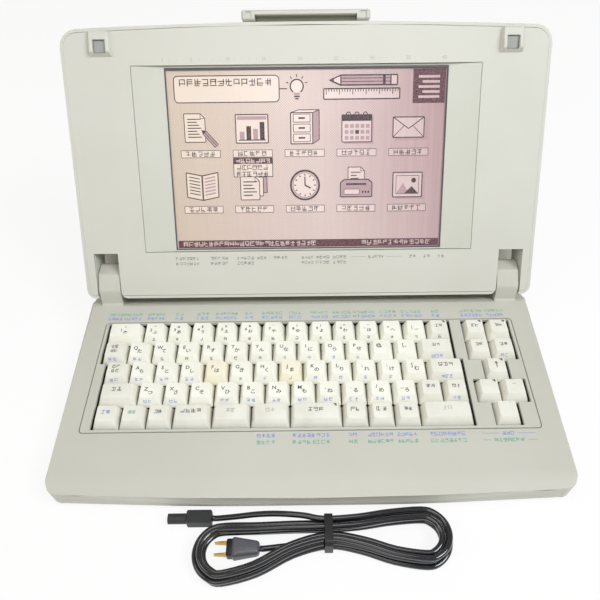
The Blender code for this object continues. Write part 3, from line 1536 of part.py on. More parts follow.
def power_inlet():
    """The inlet in the rear wall: a deep socket with two pins."""
    back = CASE_DEPTH - GAP
    front = back - INLET_DEPTH
    inlet = inlet_box("power_inlet", 0, front, back, dark_plastic())
    middle = -INLET_DROP - INLET_HEIGHT / 2
    low = (
        INLET_CENTRE - INLET_SOCKET_WIDTH / 2,
        back - INLET_SOCKET_DEPTH,
        middle - INLET_SOCKET_HEIGHT / 2,
    )
    high = (INLET_CENTRE + INLET_SOCKET_WIDTH / 2, back + OVERRUN, middle + INLET_SOCKET_HEIGHT / 2)
    cut(inlet, block("inlet_socket", low, high, DECK))
    for index, side in enumerate((-1, 1)):
        start = (
            INLET_CENTRE + side * INLET_PIN_SPREAD / 2,
            back - INLET_SOCKET_DEPTH - INLET_PIN_RADIUS,
            middle,
        )
        length = INLET_PIN_LENGTH + INLET_PIN_RADIUS
        pin = rod(f"inlet_pin_{index}", INLET_PIN_RADIUS, start, length, "Y", DECK, sides=POST_SIDES)
        join(inlet, pin)
    return inlet


def power_switch():
    """The rocker, dished so that one end stands out while the other lies in."""
    frame = bpy.data.objects.new("switch_pivot", None)
    PARTS.objects.link(frame)
    frame.parent = DECK
    frame.location = (switch_axis(), SWITCH_SETBACK, SWITCH_HEIGHT)
    frame.rotation_euler.z = -math.radians(SWITCH_THROW_DEG)
    half = SWITCH_LENGTH / 2
    outer = -SWITCH_DEPTH + SWITCH_PIN_RADIUS
    outline = [
        Vector(point)
        for point in (
            (SWITCH_PIN_RADIUS, -half),
            (SWITCH_PIN_RADIUS, half),
            (outer, half),
            (outer + SWITCH_DISH, 0),
            (outer, -half),
        )
    ]
    tall = SWITCH_TALL / 2
    rocker = flat_piece("power_switch", outline, "XY", -tall, tall, frame, dark_plastic())
    reach = tall + SWITCH_PIN_LENGTH
    pin = rod("switch_pin", SWITCH_PIN_RADIUS, (0, 0, -reach), 2 * reach, "Z", frame)
    return join(rocker, pin)


def contrast_dial():
    height = dial_height()
    start = (DIAL_CENTRE - DIAL_WIDTH / 2, DIAL_SETBACK, height)
    dial = fluted_wheel(
        "contrast_dial", DIAL_FLUTES, DIAL_RADIUS, DIAL_FLUTE_DEPTH, start, DIAL_WIDTH, DECK, grey_plastic()
    )
    reach = DIAL_WIDTH / 2 + DIAL_FIT + DIAL_LUG_WIDTH
    shaft = (DIAL_CENTRE - reach, DIAL_SETBACK, height)
    join(dial, rod("dial_shaft", DIAL_SHAFT_RADIUS, shaft, 2 * reach, "X", DECK))
    return turn_about(dial, (DIAL_CENTRE, DIAL_SETBACK, height))


# Lid


def lid_plan_corners():
    half = CASE_WIDTH / 2
    top = LID_LENGTH - LID_FOOT
    edge = bulged_edge(CASE_WIDTH, LID_BULGE, -1, top)
    return (
        [
            (-half, -LID_FOOT, LID_FOOT_CORNER),
            (half, -LID_FOOT, LID_FOOT_CORNER),
            (half, top - LID_BULGE, LID_CORNER_RADIUS),
        ]
        + edge[::-1]
        + [(-half, top - LID_BULGE, LID_CORNER_RADIUS)]
    )


def lid_back_level():
    return LID_FACE_HEIGHT - LID_THICKNESS


def lid_solid(name, wall):
    """The lid's outer form drawn in by a wall and open towards the face."""
    half = CASE_WIDTH / 2
    back = lid_back_level()
    high = LID_FACE_HEIGHT + LID_RIM_RISE if not wall else LID_FACE_HEIGHT + 2 * OVERRUN
    far = high + OVERRUN
    top = LID_LENGTH - LID_FOOT
    radius = LID_BACK_RADIUS
    side = ((-LID_FOOT, far, 0), (-LID_FOOT, back, radius), (top, back, radius), (top, far, 0))
    end = ((-half, far, 0), (-half, back, radius), (half, back, radius), (half, far, 0))
    plan = rounded(drawn_in(lid_plan_corners(), wall))
    solid = flat_piece(name, plan, "XY", back - OVERRUN, high, LID)
    reach = half + OVERRUN
    sides = flat_piece(name + "_side", rounded(drawn_in(side, wall)), "YZ", -reach, reach, LID)
    low = -LID_FOOT - OVERRUN
    ends = flat_piece(name + "_end", rounded(drawn_in(end, wall)), "XZ", low, top + OVERRUN, LID)
    return settle(keep_within(solid, sides, ends))


def notch(name, side, margin, low, high):
    """The notch for a hinge arm; its mouth flares on the inner side."""
    inner = ARM_CENTRE - ARM_WIDTH / 2 - NOTCH_MARGIN - margin
    outer = ARM_CENTRE + ARM_WIDTH / 2 + NOTCH_MARGIN + margin
    top = NOTCH_LENGTH - LID_FOOT + margin
    flare = 0 if margin else NOTCH_FLARE
    mouth = -LID_FOOT
    corners = [(outer, mouth - OVERRUN), (outer, top), (inner, top)]
    for step in range(ARC_STEPS + 1):
        angle = math.pi / 2 * step / ARC_STEPS
        corners.append((inner - flare * (1 - math.cos(angle)), mouth + flare * (1 - math.sin(angle))))
    if not flare:
        corners = corners[:3] + [(inner, mouth)]
    corners.append((inner - flare, mouth - OVERRUN))
    outline = [Vector((side * x, y)) for x, y in corners]
    return flat_piece(name, outline, "XY", low, high, LID)


def lid_posts():
    """Posts inside the lid's back that carry the backlight."""
    low = lid_back_level() + LID_WALL / 2
    top = backlight_levels()[0] - GAP
    posts = []
    for index, (across, along) in enumerate(LID_POST_SHARES):
        place = (across * PANEL_WIDTH / 2, DISPLAY_CENTRE + along * PANEL_LENGTH / 2, low)
        name = f"lid_post_{index}"
        posts.append(rod(name, POST_RADIUS, place, top - low, "Z", LID, sides=POST_SIDES))
    return posts


def leg_centre():
    return HANDLE_WIDTH / 2 - LEG_INSET


def handle_guides():
    """Guides inside the free edge that the handle's legs slide in, and their slots."""
    guides = []
    slots = []
    edge = LID_LENGTH - LID_FOOT - LID_WALL / 2
    for name, side in (("left", -1), ("right", 1)):
        middle = side * leg_centre()
        half = LEG_WIDTH / 2 + GAP
        thick = LEG_THICKNESS / 2 + GAP
        low = (middle - half - GUIDE_WALL, edge - GUIDE_LENGTH, lid_back_level() + LID_WALL / 2)
        high = (middle + half + GUIDE_WALL, edge, LEG_LEVEL + thick + GUIDE_WALL)
        guides.append(block(f"guide_{name}", low, high, LID))
        slot_low = (middle - half, edge - GUIDE_LENGTH - OVERRUN, LEG_LEVEL - thick)
        slot_high = (middle + half, edge + OVERRUN, LEG_LEVEL + thick)
        slots.append(block(f"guide_slot_{name}", slot_low, slot_high, LID))
    return guides, slots


def lid_back_cover():
    cover = lid_solid("lid_back_cover_form", 0)
    space = lid_solid("lid_space", LID_WALL)
    back = lid_back_level()
    under_face = LID_FACE_HEIGHT - FACE_THICKNESS - GAP
    for name, side in (("left", -1), ("right", 1)):
        cut(space, notch(f"notch_cheek_{name}", side, LID_WALL, back - OVERRUN, under_face))
    settle(space)
    shell = add_object("lid_back_cover", cover.data.copy(), LID, lid_plastic())
    guides, slots = handle_guides()
    cut(shell, space)
    join(shell, *lid_posts(), *guides)
    cut(shell, *slots)
    for name, side in (("left", -1), ("right", 1)):
        cut(shell, notch(f"cover_notch_{name}", side, 0, back - OVERRUN, LID_FACE_HEIGHT + OVERRUN))
        cut(shell, hinge_bore(f"cover_bore_{name}", side, PIN_RADIUS + GAP, LID, (0, 0, 0)))
    return shell


def rest_block(name, side):
    """A raised block near the free edge that lands on the deck when the lid is shut."""
    shape = bmesh.new()
    bmesh.ops.create_cube(shape, size=1)
    half = REST_WIDTH / 2
    for vert in shape.verts:
        right = vert.co.x > 0
        far = vert.co.y > 0
        top = vert.co.z > 0
        x = half - (REST_SIDE_TAPER if top else 0)
        y = REST_LOW + (REST_LENGTH if far else (REST_END_TAPER if top else 0))
        z = (REST_END_HEIGHT if far else REST_HEIGHT) if top else -REST_SINK
        vert.co = (side * REST_CENTRE + (x if right else -x), y, LID_FACE_HEIGHT + z)
    return add_object(name, mesh_of(name, shape), LID)


def pad_block(name, side, margin, material=None):
    half = PAD_SIZE / 2 + margin
    middle = side * REST_CENTRE
    low = (middle - half, PAD_LOW - margin, LID_FACE_HEIGHT - PAD_SINK + (0 if margin else GAP))
    top = LID_FACE_HEIGHT + (OVERRUN if margin else PAD_RISE)
    return block(name, low, (middle + half, PAD_LOW + PAD_SIZE + margin, top), LID, material)


def lid_front_frame():
    outline = rounded(drawn_in(lid_plan_corners(), LID_WALL + GAP))
    face = LID_FACE_HEIGHT
    frame = flat_piece("lid_front_frame", outline, "XY", face - FACE_THICKNESS, face, LID, lid_plastic())
    low = face - FACE_THICKNESS - OVERRUN
    for name, side in (("left", -1), ("right", 1)):
        cut(frame, notch(f"frame_notch_{name}", side, 0, low, face + OVERRUN))
        join(frame, rest_block(f"rest_block_{name}", side))
        cut(frame, pad_block(f"pad_hole_{name}", side, GAP))
    half = INSERT_WIDTH / 2 + GAP
    long = INSERT_LENGTH / 2 + GAP
    opening_low = (-half, DISPLAY_CENTRE - long, low)
    opening_high = (half, DISPLAY_CENTRE + long, face + OVERRUN)
    return cut(frame, block("insert_opening", opening_low, opening_high, LID))


def rest_pads():
    for name, side in (("rest_pad_left", -1), ("rest_pad_right", 1)):
        pad_block(name, side, 0, grey_plastic())


def display_bezel():
    """The insert round the window: its sides slope down from the lid's face to the display."""
    face = LID_FACE_HEIGHT
    outer = INSERT_WIDTH / 2
    inner = WINDOW_WIDTH / 2
    low_top = face - INSERT_DROP
    outline = [
        Vector(point)
        for point in (
            (-outer, face),
            (-outer, face - INSERT_THICKNESS),
            (-inner, low_top - INSERT_EDGE_THICKNESS),
            (inner, low_top - INSERT_EDGE_THICKNESS),
            (outer, face - INSERT_THICKNESS),
            (outer, face),
            (inner, low_top),
            (-inner, low_top),
        )
    ]
    near = DISPLAY_CENTRE - INSERT_LENGTH / 2
    far = DISPLAY_CENTRE + INSERT_LENGTH / 2
    bezel = flat_piece("display_bezel", outline, "XZ", near, far, LID, lid_plastic())
    long = WINDOW_LENGTH / 2
    window_low = (-inner, DISPLAY_CENTRE - long, low_top - OVERRUN)
    return cut(bezel, block("window", window_low, (inner, DISPLAY_CENTRE + long, face + OVERRUN), LID))


def panel_levels():
    top = LID_FACE_HEIGHT - INSERT_DROP - INSERT_EDGE_THICKNESS - GAP
    return top - PANEL_THICKNESS, top


def backlight_levels():
    top = panel_levels()[0] - GAP
    return top - BACKLIGHT_THICKNESS, top


def display_layer(name, levels, inset_by, material):
    half = PANEL_WIDTH / 2 - inset_by
    long = PANEL_LENGTH / 2 - inset_by
    low = (-half, DISPLAY_CENTRE - long, levels[0])
    return block(name, low, (half, DISPLAY_CENTRE + long, levels[1]), LID, material)


def hinge_pins():
    length = ARM_WIDTH + 2 * (NOTCH_MARGIN + LID_WALL + PIN_MARGIN - GAP)
    for name, side in (("hinge_pin_left", -1), ("hinge_pin_right", 1)):
        start = (side * ARM_CENTRE - length / 2, 0, 0)
        rod(name, PIN_RADIUS, start, length, "X", LID, steel())


def carrying_handle():
    """A channelled grip across the lid's free edge, on two legs that slide out with it."""
    low = LID_LENGTH - LID_FOOT + HANDLE_EDGE_GAP
    high = low + HANDLE_HEIGHT
    half = HANDLE_WIDTH / 2
    back = HANDLE_FRONT - HANDLE_DEPTH
    corners = ((-half, low, back), (half, high, HANDLE_FRONT))
    handle = block("carrying_handle", *corners, LID, lid_plastic(), HANDLE_BEVEL)
    for name, side in (("left", -1), ("right", 1)):
        middle = side * leg_centre()
        top = low + HANDLE_BEVEL * 2
        leg_low = (middle - LEG_WIDTH / 2, top - LEG_LENGTH, LEG_LEVEL - LEG_THICKNESS / 2)
        leg_high = (middle + LEG_WIDTH / 2, top, LEG_LEVEL + LEG_THICKNESS / 2)
        stop_low = (middle - LEG_STOP_WIDTH / 2, leg_low[1], leg_low[2])
        stop_high = (middle + LEG_STOP_WIDTH / 2, leg_low[1] + LEG_STOP_LENGTH, leg_high[2])
        join(handle, block(f"leg_{name}", leg_low, leg_high, LID))
        join(handle, block(f"leg_stop_{name}", stop_low, stop_high, LID))
        middle = side * (half - HANDLE_END_LENGTH / 2)
        reach = HANDLE_SOCKET / 2
        socket_low = (middle - reach, low + HANDLE_SOCKET_RISE, HANDLE_FRONT - HANDLE_SOCKET_DEPTH)
        socket_high = (middle + reach, low + HANDLE_SOCKET_RISE + HANDLE_SOCKET, HANDLE_FRONT + OVERRUN)
        cut(handle, block(f"handle_socket_{name}", socket_low, socket_high, LID))
    reach = half - HANDLE_END_LENGTH
    channel_low = (-reach, low - OVERRUN, HANDLE_FRONT - CHANNEL_DEPTH)
    channel_high = (reach, high - CHANNEL_WALL, HANDLE_FRONT + OVERRUN)
    cut(handle, block("handle_channel", channel_low, channel_high, LID))
    return turn_about(handle, (0, low, 0))


# Mains cord


def blend(value):
    """Rises smoothly from 0 to 1 as value goes from 0 to 1, level at both ends."""
    value = min(max(value, 0), 1)
    return (1 - math.cos(math.pi * value)) / 2


def hank_run(x):
    """Middle line, half width and closeness to the waist of the hank's runs at a place along it."""
    fold, radius = (HANK_LEFT_FOLD, HANK_LEFT_RADIUS)
    if x > HANK_WAIST[0]:
        fold, radius = (HANK_RIGHT_FOLD, HANK_RIGHT_RADIUS)
    away = blend((x - HANK_WAIST[0]) / (fold[0] - HANK_WAIST[0]))
    middle = HANK_WAIST[1] + (fold[1] - HANK_WAIST[1]) * away
    return middle, HANK_WAIST_HALF + (radius - HANK_WAIST_HALF) * away, 1 - away


def hank_outline(turn):
    """The outermost loop, anticlockwise from the waist's front side, as place and closeness."""
    turn %= 1
    share = turn * 4
    if share < 1 / 2:
        x = HANK_WAIST[0] + (HANK_RIGHT_FOLD[0] - HANK_WAIST[0]) * share * 2
        middle, half, close = hank_run(x)
        return Vector((x, middle - half)), close
    if share < 3 / 2:
        angle = math.pi * (share - 1)
        arm = Vector((math.cos(angle), math.sin(angle))) * HANK_RIGHT_RADIUS
        return Vector(HANK_RIGHT_FOLD) + arm, 0
    if share < 5 / 2:
        x = HANK_RIGHT_FOLD[0] + (HANK_LEFT_FOLD[0] - HANK_RIGHT_FOLD[0]) * (share - 3 / 2)
        middle, half, close = hank_run(x)
        return Vector((x, middle + half)), close
    if share < 7 / 2:
        angle = math.pi * (share - 2)
        arm = Vector((math.cos(angle), math.sin(angle))) * HANK_LEFT_RADIUS
        return Vector(HANK_LEFT_FOLD) + arm, 0
    x = HANK_LEFT_FOLD[0] + (HANK_WAIST[0] - HANK_LEFT_FOLD[0]) * (share - 7 / 2) * 2
    middle, half, close = hank_run(x)
    return Vector((x, middle - half)), close


def hank_lane(turn):
    """Lanes drawn in from the outline and layers climbed, after a number of turns."""
    spiral = (HANK_LOOPS - (HANK_LAYERS - 1) * HANK_CLIMB) / HANK_LAYERS
    lane = spiral
    layer = 0
    turn = max(turn, 0)
    while turn > 0:
        part = min(turn, spiral)
        lane += part * (1 if layer % 2 else -1)
        turn -= part
        if turn > 0 and layer < HANK_LAYERS - 1:
            climb = min(turn, HANK_CLIMB)
            turn -= climb
            layer += climb / HANK_CLIMB
            if climb < HANK_CLIMB:
                break
        else:
            break
    return lane, layer


def hank_point(turn):
    """A point of the cord in the hank: drawn in square to the outline, and stacked in layers."""
    lane, layer = hank_lane(turn)
    step = 1 / (POINTS_PER_LOOP * POINTS_PER_LOOP)
    here, close = hank_outline(turn)
    along = (hank_outline(turn + step)[0] - hank_outline(turn - step)[0]).normalized()
    inward = Vector((-along.y, along.x))
    place = here + inward * lane * HANK_LANE_STEP
    rise = CORD_LIFT + CORD_DIAMETER / 2 + (TIE_THICKNESS + TIE_FIT) * close
    return Vector((place.x, place.y, rise + layer * HANK_LAYER_STEP))


def cord_points():
    """The whole cord, from the back of its plug to the back of its connector."""
    plug = Vector((*PLUG_BACK, PLUG_HEIGHT / 2 + CORD_LIFT))
    back = Vector((*CONNECTOR_BACK, CONNECTOR_HEIGHT / 2 + CORD_LIFT))
    straight = Vector((CORD_DIAMETER, 0, 0))
    start = plug + Vector((GAP, 0, 0))
    finish_at = back + Vector((GAP, 0, 0))
    points = [start, start + straight]
    points.append(hank_point(LEAD_TURN_SHARE))
    count = round(HANK_LOOPS * POINTS_PER_LOOP)
    points += [hank_point(index / POINTS_PER_LOOP) for index in range(count + 1)]
    points += [Vector(point) for point in TAIL_POINTS]
    return points + [finish_at + straight, finish_at]


def segment_distance(first, last, other_first, other_last):
    """The least distance between two short stretches, measured on points along them."""
    least = math.inf
    for step in range(ARC_STEPS + 1):
        point = first.lerp(last, step / ARC_STEPS)
        line = other_last - other_first
        share = min(max((point - other_first).dot(line) / line.length_squared, 0), 1)
        least = min(least, (point - other_first - line * share).length)
    return least


def print_cord_facts(points):
    """Prints the cord's length and its least gap to itself, past its own bends."""
    spans = list(zip(points, points[1:]))
    along = [0]
    for first, last in spans:
        along.append(along[-1] + (last - first).length)
    least = math.inf
    for i, (first, last) in enumerate(spans):
        for j in range(i + 2, len(spans)):
            if along[j] - along[i + 1] > BEND_LENGTH:
                least = min(least, segment_distance(first, last, *spans[j]))
    gap = least - CORD_DIAMETER
    verdict = "clear" if gap > LEAST_CORD_GAP else "too close"
    print(f"cord length {along[-1]:.4f} m, least gap to itself {gap:.5f} m, {verdict}")


def mains_cord():
    points = cord_points()
    print_cord_facts(points)
    curve = bpy.data.curves.new("mains_cord", "CURVE")
    curve.dimensions = "3D"
    curve.bevel_depth = CORD_DIAMETER / 2
    curve.bevel_resolution = 1
    curve.use_fill_caps = True
    spline = curve.splines.new("POLY")
    spline.points.add(len(points) - 1)
    for point, place in zip(spline.points, points):
        point.co = (*place, 1)
    return add_object("mains_cord", curve, None, cord_rubber())


def cord_tie():
    """A flat band round the hank's waist."""
    reach = HANK_WAIST_HALF + CORD_DIAMETER / 2 + TIE_FIT
    low = CORD_LIFT + TIE_THICKNESS
    high = low + 2 * TIE_FIT + CORD_DIAMETER + (HANK_LAYERS - 1) * HANK_LAYER_STEP
    middle = HANK_WAIST[1]
    corners = rectangle(middle - reach, low, middle + reach, high, TIE_RADIUS / 2)
    start = HANK_WAIST[0] - TIE_WIDTH / 2
    space = rounded(corners)
    skin = rounded(drawn_in(corners, -TIE_THICKNESS))
    band = flat_piece("cord_tie", skin, "YZ", start, start + TIE_WIDTH, None, dark_plastic())
    hole = flat_piece("tie_space", space, "YZ", start - OVERRUN, start + TIE_WIDTH + OVERRUN, None)
    return cut(band, hole)


def cord_plug():
    """The plug: a soft body, a dark collar and two flat blades."""
    back, middle = PLUG_BACK
    low = CORD_LIFT
    front = back - PLUG_LENGTH
    half = PLUG_WIDTH / 2
    corners = ((front, middle - half, low), (back, middle + half, low + PLUG_HEIGHT))
    plug = block("cord_plug", *corners, None, grey_plastic(), PLUG_BEVEL)
    inset_by = PLUG_COLLAR_INSET
    collar_low = (front - PLUG_COLLAR_LENGTH, middle - half + inset_by, low + inset_by)
    collar_high = (front + PLUG_BEVEL, middle + half - inset_by, low + PLUG_HEIGHT - inset_by)
    join(plug, block("plug_collar", collar_low, collar_high, None))
    tip = front - PLUG_COLLAR_LENGTH - PLUG_BLADE_LENGTH
    axis = low + PLUG_HEIGHT / 2
    for index, side in enumerate((-1, 1)):
        y = middle + side * PLUG_BLADE_SPREAD / 2
        blade_low = (tip, y - PLUG_BLADE_THICKNESS / 2, axis - PLUG_BLADE_WIDTH / 2)
        blade_high = (front, y + PLUG_BLADE_THICKNESS / 2, axis + PLUG_BLADE_WIDTH / 2)
        join(plug, block(f"plug_blade_{index}", blade_low, blade_high, None))
    return plug


def cord_connector():
    """The connector: a square body and a round barrel with two sockets."""
    back, middle = CONNECTOR_BACK
    low = CORD_LIFT
    half = CONNECTOR_WIDTH / 2
    front = back - CONNECTOR_LENGTH
    corners = ((front, middle - half, low), (back, middle + half, low + CONNECTOR_HEIGHT))
    connector = block("cord_connector", *corners, None, dark_plastic(), CONNECTOR_BEVEL)
    axis = low + CONNECTOR_HEIGHT / 2
    tip = front - BARREL_LENGTH
    join(connector, rod("barrel", BARREL_RADIUS, (tip, middle, axis), BARREL_LENGTH + half, "X", None))
    start = (tip - OVERRUN, middle, axis)
    return cut(connector, rod("barrel_bore", BARREL_BORE, start, OVERRUN + BARREL_BORE_DEPTH, "X", None))


def build_base():
    skin = case_solid("case_form", 0)
    settle(cut(skin, case_solid("case_space", CASE_WALL)))
    base_top_shell(skin)
    base_bottom_shell(skin)
    for name, (x, setback) in foot_places().items():
        foot(name, x, setback, rubber())
    keyboard_frame()
    for name, x, y, width in moving_keys():
        key(name, x, y, width)
    main_board()
    printer_chassis()
    platen_roller()
    platen_knob()
    platen_gear()
    feed_pinion()
    feed_motor()
    carriage_rail()
    print_carriage()
    ribbon_cassette()
    printer_cover()
    floppy_drive()
    floppy_eject_button()
    power_supply()
    power_inlet()
    power_switch()
    contrast_dial()


def build_lid():
    lid_back_cover()
    lid_front_frame()
    rest_pads()
    display_bezel()
    display_layer("display_panel", panel_levels(), 0, display_glass())
    display_layer("backlight", backlight_levels(), BACKLIGHT_INSET, backlight_white())
    hinge_pins()
    carrying_handle()


def build_cord():
    mains_cord()
    cord_tie()
    cord_plug()
    cord_connector()


build_base()
build_lid()
build_cord()
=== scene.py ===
"""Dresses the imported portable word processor: keys, printed marks, display image, cord and finishes."""
import contextlib
import math
import random

import bmesh
import bpy
from mathutils import Matrix, Vector


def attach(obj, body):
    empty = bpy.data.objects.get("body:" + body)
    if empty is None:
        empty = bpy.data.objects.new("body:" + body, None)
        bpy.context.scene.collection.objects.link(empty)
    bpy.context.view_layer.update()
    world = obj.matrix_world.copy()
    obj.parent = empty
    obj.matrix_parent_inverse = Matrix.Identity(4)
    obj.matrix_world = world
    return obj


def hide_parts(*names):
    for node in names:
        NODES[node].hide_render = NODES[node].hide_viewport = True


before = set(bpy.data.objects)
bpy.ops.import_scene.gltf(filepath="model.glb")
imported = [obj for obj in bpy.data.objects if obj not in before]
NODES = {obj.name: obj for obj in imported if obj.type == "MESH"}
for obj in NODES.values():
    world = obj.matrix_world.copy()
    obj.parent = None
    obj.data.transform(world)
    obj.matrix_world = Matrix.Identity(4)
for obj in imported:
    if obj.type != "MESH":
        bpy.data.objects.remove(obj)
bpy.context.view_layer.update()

DRAW = random.Random(23)

# Frames: the deck slopes down to the nose, and the lid leans back from its pivot
TILT = math.radians(4.0)
LEAN = math.radians(54.8)
DECK = Matrix.Translation((0, -0.168988, 0.021893)) @ Matrix.Rotation(TILT, 4, "X")
LID = DECK @ Matrix.Translation((0, 0.189, 0.0165)) @ Matrix.Rotation(LEAN, 4, "X")

# Keyboard grid
PITCH = 0.019
KEY_GAP = 0.0005
KEYS_FRONT = 0.0523
KEYS_LEFT = -0.1621
CLUSTER_X = 0.1425
ROWS = (
    (1.5, 1, 1, 1, 1, 1, 1, 1, 1, 1, 1, 1, 1, 1),
    (1, 1, 1, 1, 1, 1, 1, 1, 1, 1, 1, 1, 1, 1.5),
    (1, 1, 1, 1, 1, 1, 1, 1, 1, 1, 1, 1, 1, 1.5),
    (1.5, 1, 1, 1, 1, 1, 1, 1, 1, 1, 1, 1, 1, 1),
    (1, 1, 1, 1.5, 1.5, 1.5, 2, 1, 1, 1, 2),
)
ROW_STARTS = (0, 0, 0.25, 0.25, 0.25)

# A keycap's levels, how far its top stands in, its wall, its hollow and its stem
KEY_TOP = 0.0035
KEY_SKIRT = 0.004
SIDE_INSET = 0.0028
FRONT_INSET = 0.0048
BACK_INSET = 0.0014
KEY_WALL = 0.0011
HOLLOW = 0.0042
HOLLOW_SHARE = (0.86, 0.78)
STEM = 0.006
STEM_LOW = -0.0095
STEM_PLAY = 0.0003
DISH = 0.00045

# The tray under the keys
PLATE_LOW = -0.0105
PLATE_TOP = -0.0085
PLATE_RIM = -0.0028
PLATE_MARGIN = 0.0035

# Lid levels
FACE = 0.01125
RIM_TOP = 0.01175
WINDOW_X = 0.1073
WINDOW_Y = 0.0688
DISPLAY_Y = 0.0895
PANEL_X = 0.112
PANEL_Y = 0.074
PANEL_TOP = 0.0071
PANEL_LOW = 0.0047
BEZEL_LOW_TOP = 0.0086
HANDLE_LOW = 0.1899
HANDLE_OUT = 0.0012
DITHER = 0.00095

# The groove round the keys: its middle line, the radius of its corners, its depth and its width
BORDER = (-0.1652, 0.1646, 0.0492, 0.1492)
BORDER_TURN = 0.003
GROOVE = 0.0005
GROOVE_WIDE = 0.0008

# How far the shells' sides draw in, from where across and along them, and the case's half width
SIDE_DRAW = 0.0036
EASE_FROM = -0.093
EASE_TO = -0.168
FLANK_FROM = 0.150
HALF_WIDE = 0.1825

# How far the nose's corners stand back, and from where along the shells
NOSE_DRAW = 0.0018
NOSE_FROM = -0.120
NOSE_TO = -0.166

# How far the front crease bows out, its fall, half its span, and where it lies on the deck
CREASE_OUT = 0.0024
CREASE_FALL = 0.203
CREASE_HALF = 0.155
CREASE_X = 0.1
CREASE_Y = 0.0055
CREASE_Z = -0.0045

# Middle and reach of the front corners' arc, and the power that fills it out (2 is a plain arc)
CORNER = (0.1681, -0.150)
CORNER_REACH = (0.0144, 0.0165)
FULLNESS = 3.4

# Prints: their thickness, their gap over a surface and over a cap, and the heights of their words
PRINT = 0.00004
LAID = 0.00001
CAP_LAID = 0.00002
DECK_WORD = 0.0028
LID_WORD = 0.0024
TOP_WORD = 0.0032
FRONT_WORD = 0.0026
RING_SIDES = 28

# The usual turned edge, the angle from which an edge is turned, and the angle under which faces merge
EDGE = 0.0004
SHARP = 28
FLAT = 0.8

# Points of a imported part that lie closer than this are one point
MERGE = 0.000002


# Selection and modelling by hand


def deselect():
    """Leaves edit mode with nothing selected."""
    if bpy.context.object and bpy.context.object.mode != "OBJECT":
        bpy.ops.object.mode_set(mode="OBJECT")
    bpy.ops.object.select_all(action="DESELECT")


def take_up(piece):
    """Makes a piece the only selected one."""
    deselect()
    piece.select_set(True)
    bpy.context.view_layer.objects.active = piece


def added(name, data):
    """A new object in the scene."""
    piece = bpy.data.objects.new(name, data)
    bpy.context.scene.collection.objects.link(piece)
    return piece


def named(name):
    """Names the newest piece and applies its place and size."""
    piece = bpy.context.object
    piece.name = piece.data.name = name
    bpy.ops.object.transform_apply(location=True, rotation=True, scale=True)
    return piece


def box(name, low, high):
    """A block from its low corner to its high one."""
    deselect()
    low, high = Vector(low), Vector(high)
    bpy.ops.mesh.primitive_cube_add(size=1, location=(low + high) / 2, scale=high - low)
    return named(name)


def drum(name, radius, start, end, sides):
    """A cylinder from one point to another."""
    deselect()
    start, end = Vector(start), Vector(end)
    along = end - start
    turn = along.to_track_quat("Z", "Y").to_euler()
    bpy.ops.mesh.primitive_cylinder_add(
        vertices=sides, radius=radius, depth=along.length, location=(start + end) / 2, rotation=turn
    )
    return named(name)


@contextlib.contextmanager
def picked(piece, test, kind="FACE"):
    """Edit mode, with the faces or edges that pass a test selected."""
    take_up(piece)
    bpy.ops.object.mode_set(mode="EDIT")
    bpy.ops.mesh.select_mode(type=kind)
    bpy.ops.mesh.select_all(action="DESELECT")
    shape = bmesh.from_edit_mesh(piece.data)
    for item in shape.faces if kind == "FACE" else shape.edges:
        item.select_set(bool(test(item)))
    bmesh.update_edit_mesh(piece.data)
    yield
    bpy.ops.object.mode_set(mode="OBJECT")


def facing(axis, way=1):
    """A test for the faces that look along an axis."""
    return lambda face: face.normal[axis] * way > 0.9


def extrude(rise):
    """Draws the selected faces up by a height."""
    bpy.ops.mesh.extrude_region_move(TRANSFORM_OT_translate={"value": (0, 0, rise)})


def modify(piece, kind, **settings):
    """Adds a modifier with its settings and applies it."""
    take_up(piece)
    step = piece.modifiers.new(kind.lower(), kind)
    for name, value in settings.items():
        setattr(step, name, value)
    bpy.ops.object.modifier_apply(modifier=step.name)


def soften(piece, width, segments=2, angle=30, smooth=35):
    """Turns the sharp edges and shades the rest smooth."""
    modify(
        piece, "BEVEL", width=width, segments=segments, limit_method="ANGLE",
        angle_limit=math.radians(angle), use_clamp_overlap=True, miter_outer="MITER_SHARP",
    )
    take_up(piece)
    bpy.ops.object.shade_smooth_by_angle(angle=math.radians(smooth))
    return piece


def cut(piece, tool):
    """Takes a tool's shape out of a piece."""
    modify(piece, "BOOLEAN", operation="DIFFERENCE", solver="EXACT", object=tool)
    throw_away(tool)


def joined(name, pieces):
    """One piece from several."""
    take_up(pieces[0])
    for piece in pieces:
        piece.select_set(True)
    if len(pieces) > 1:
        bpy.ops.object.join()
    pieces[0].name = pieces[0].data.name = name
    return pieces[0]


def copy_of(piece, name, place):
    """A copy with its own mesh, moved to its place."""
    twin = added(name, piece.data.copy())
    twin.data.transform(place)
    twin.data.name = name
    return twin


def throw_away(*pieces):
    """Removes pieces that only helped."""
    for piece in pieces:
        bpy.data.objects.remove(piece)


def fit(piece, finish, body, slot, *nodes, place=None):
    """Puts a finished piece in its place, gives it its finish and lets it ride on its body."""
    if place is not None:
        piece.data.transform(place)
    piece.data.materials.clear()
    piece.data.materials.append(finish.material)
    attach(piece, body)
    if nodes:
        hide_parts(*nodes)
    return piece


def dressed(node, name, finish, body, slot, width=EDGE, segments=2, prepare=None):
    """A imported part's own shape, merged, changed where it needs it, with its moulded edges turned."""
    piece = added(name, NODES[node].data.copy())
    piece.data.name = name
    piece.data.materials.clear()
    with picked(piece, lambda face: True):
        bpy.ops.mesh.remove_doubles(threshold=MERGE)
        bpy.ops.mesh.dissolve_limited(angle_limit=math.radians(FLAT))
    if prepare:
        prepare(piece)
    soften(piece, width, segments, SHARP)
    modify(piece, "WEIGHTED_NORMAL", keep_sharp=True)
    return fit(piece, finish, body, slot, node)


def clamped(value):
    """A value kept between 0 and 1."""
    return min(max(value, 0), 1)


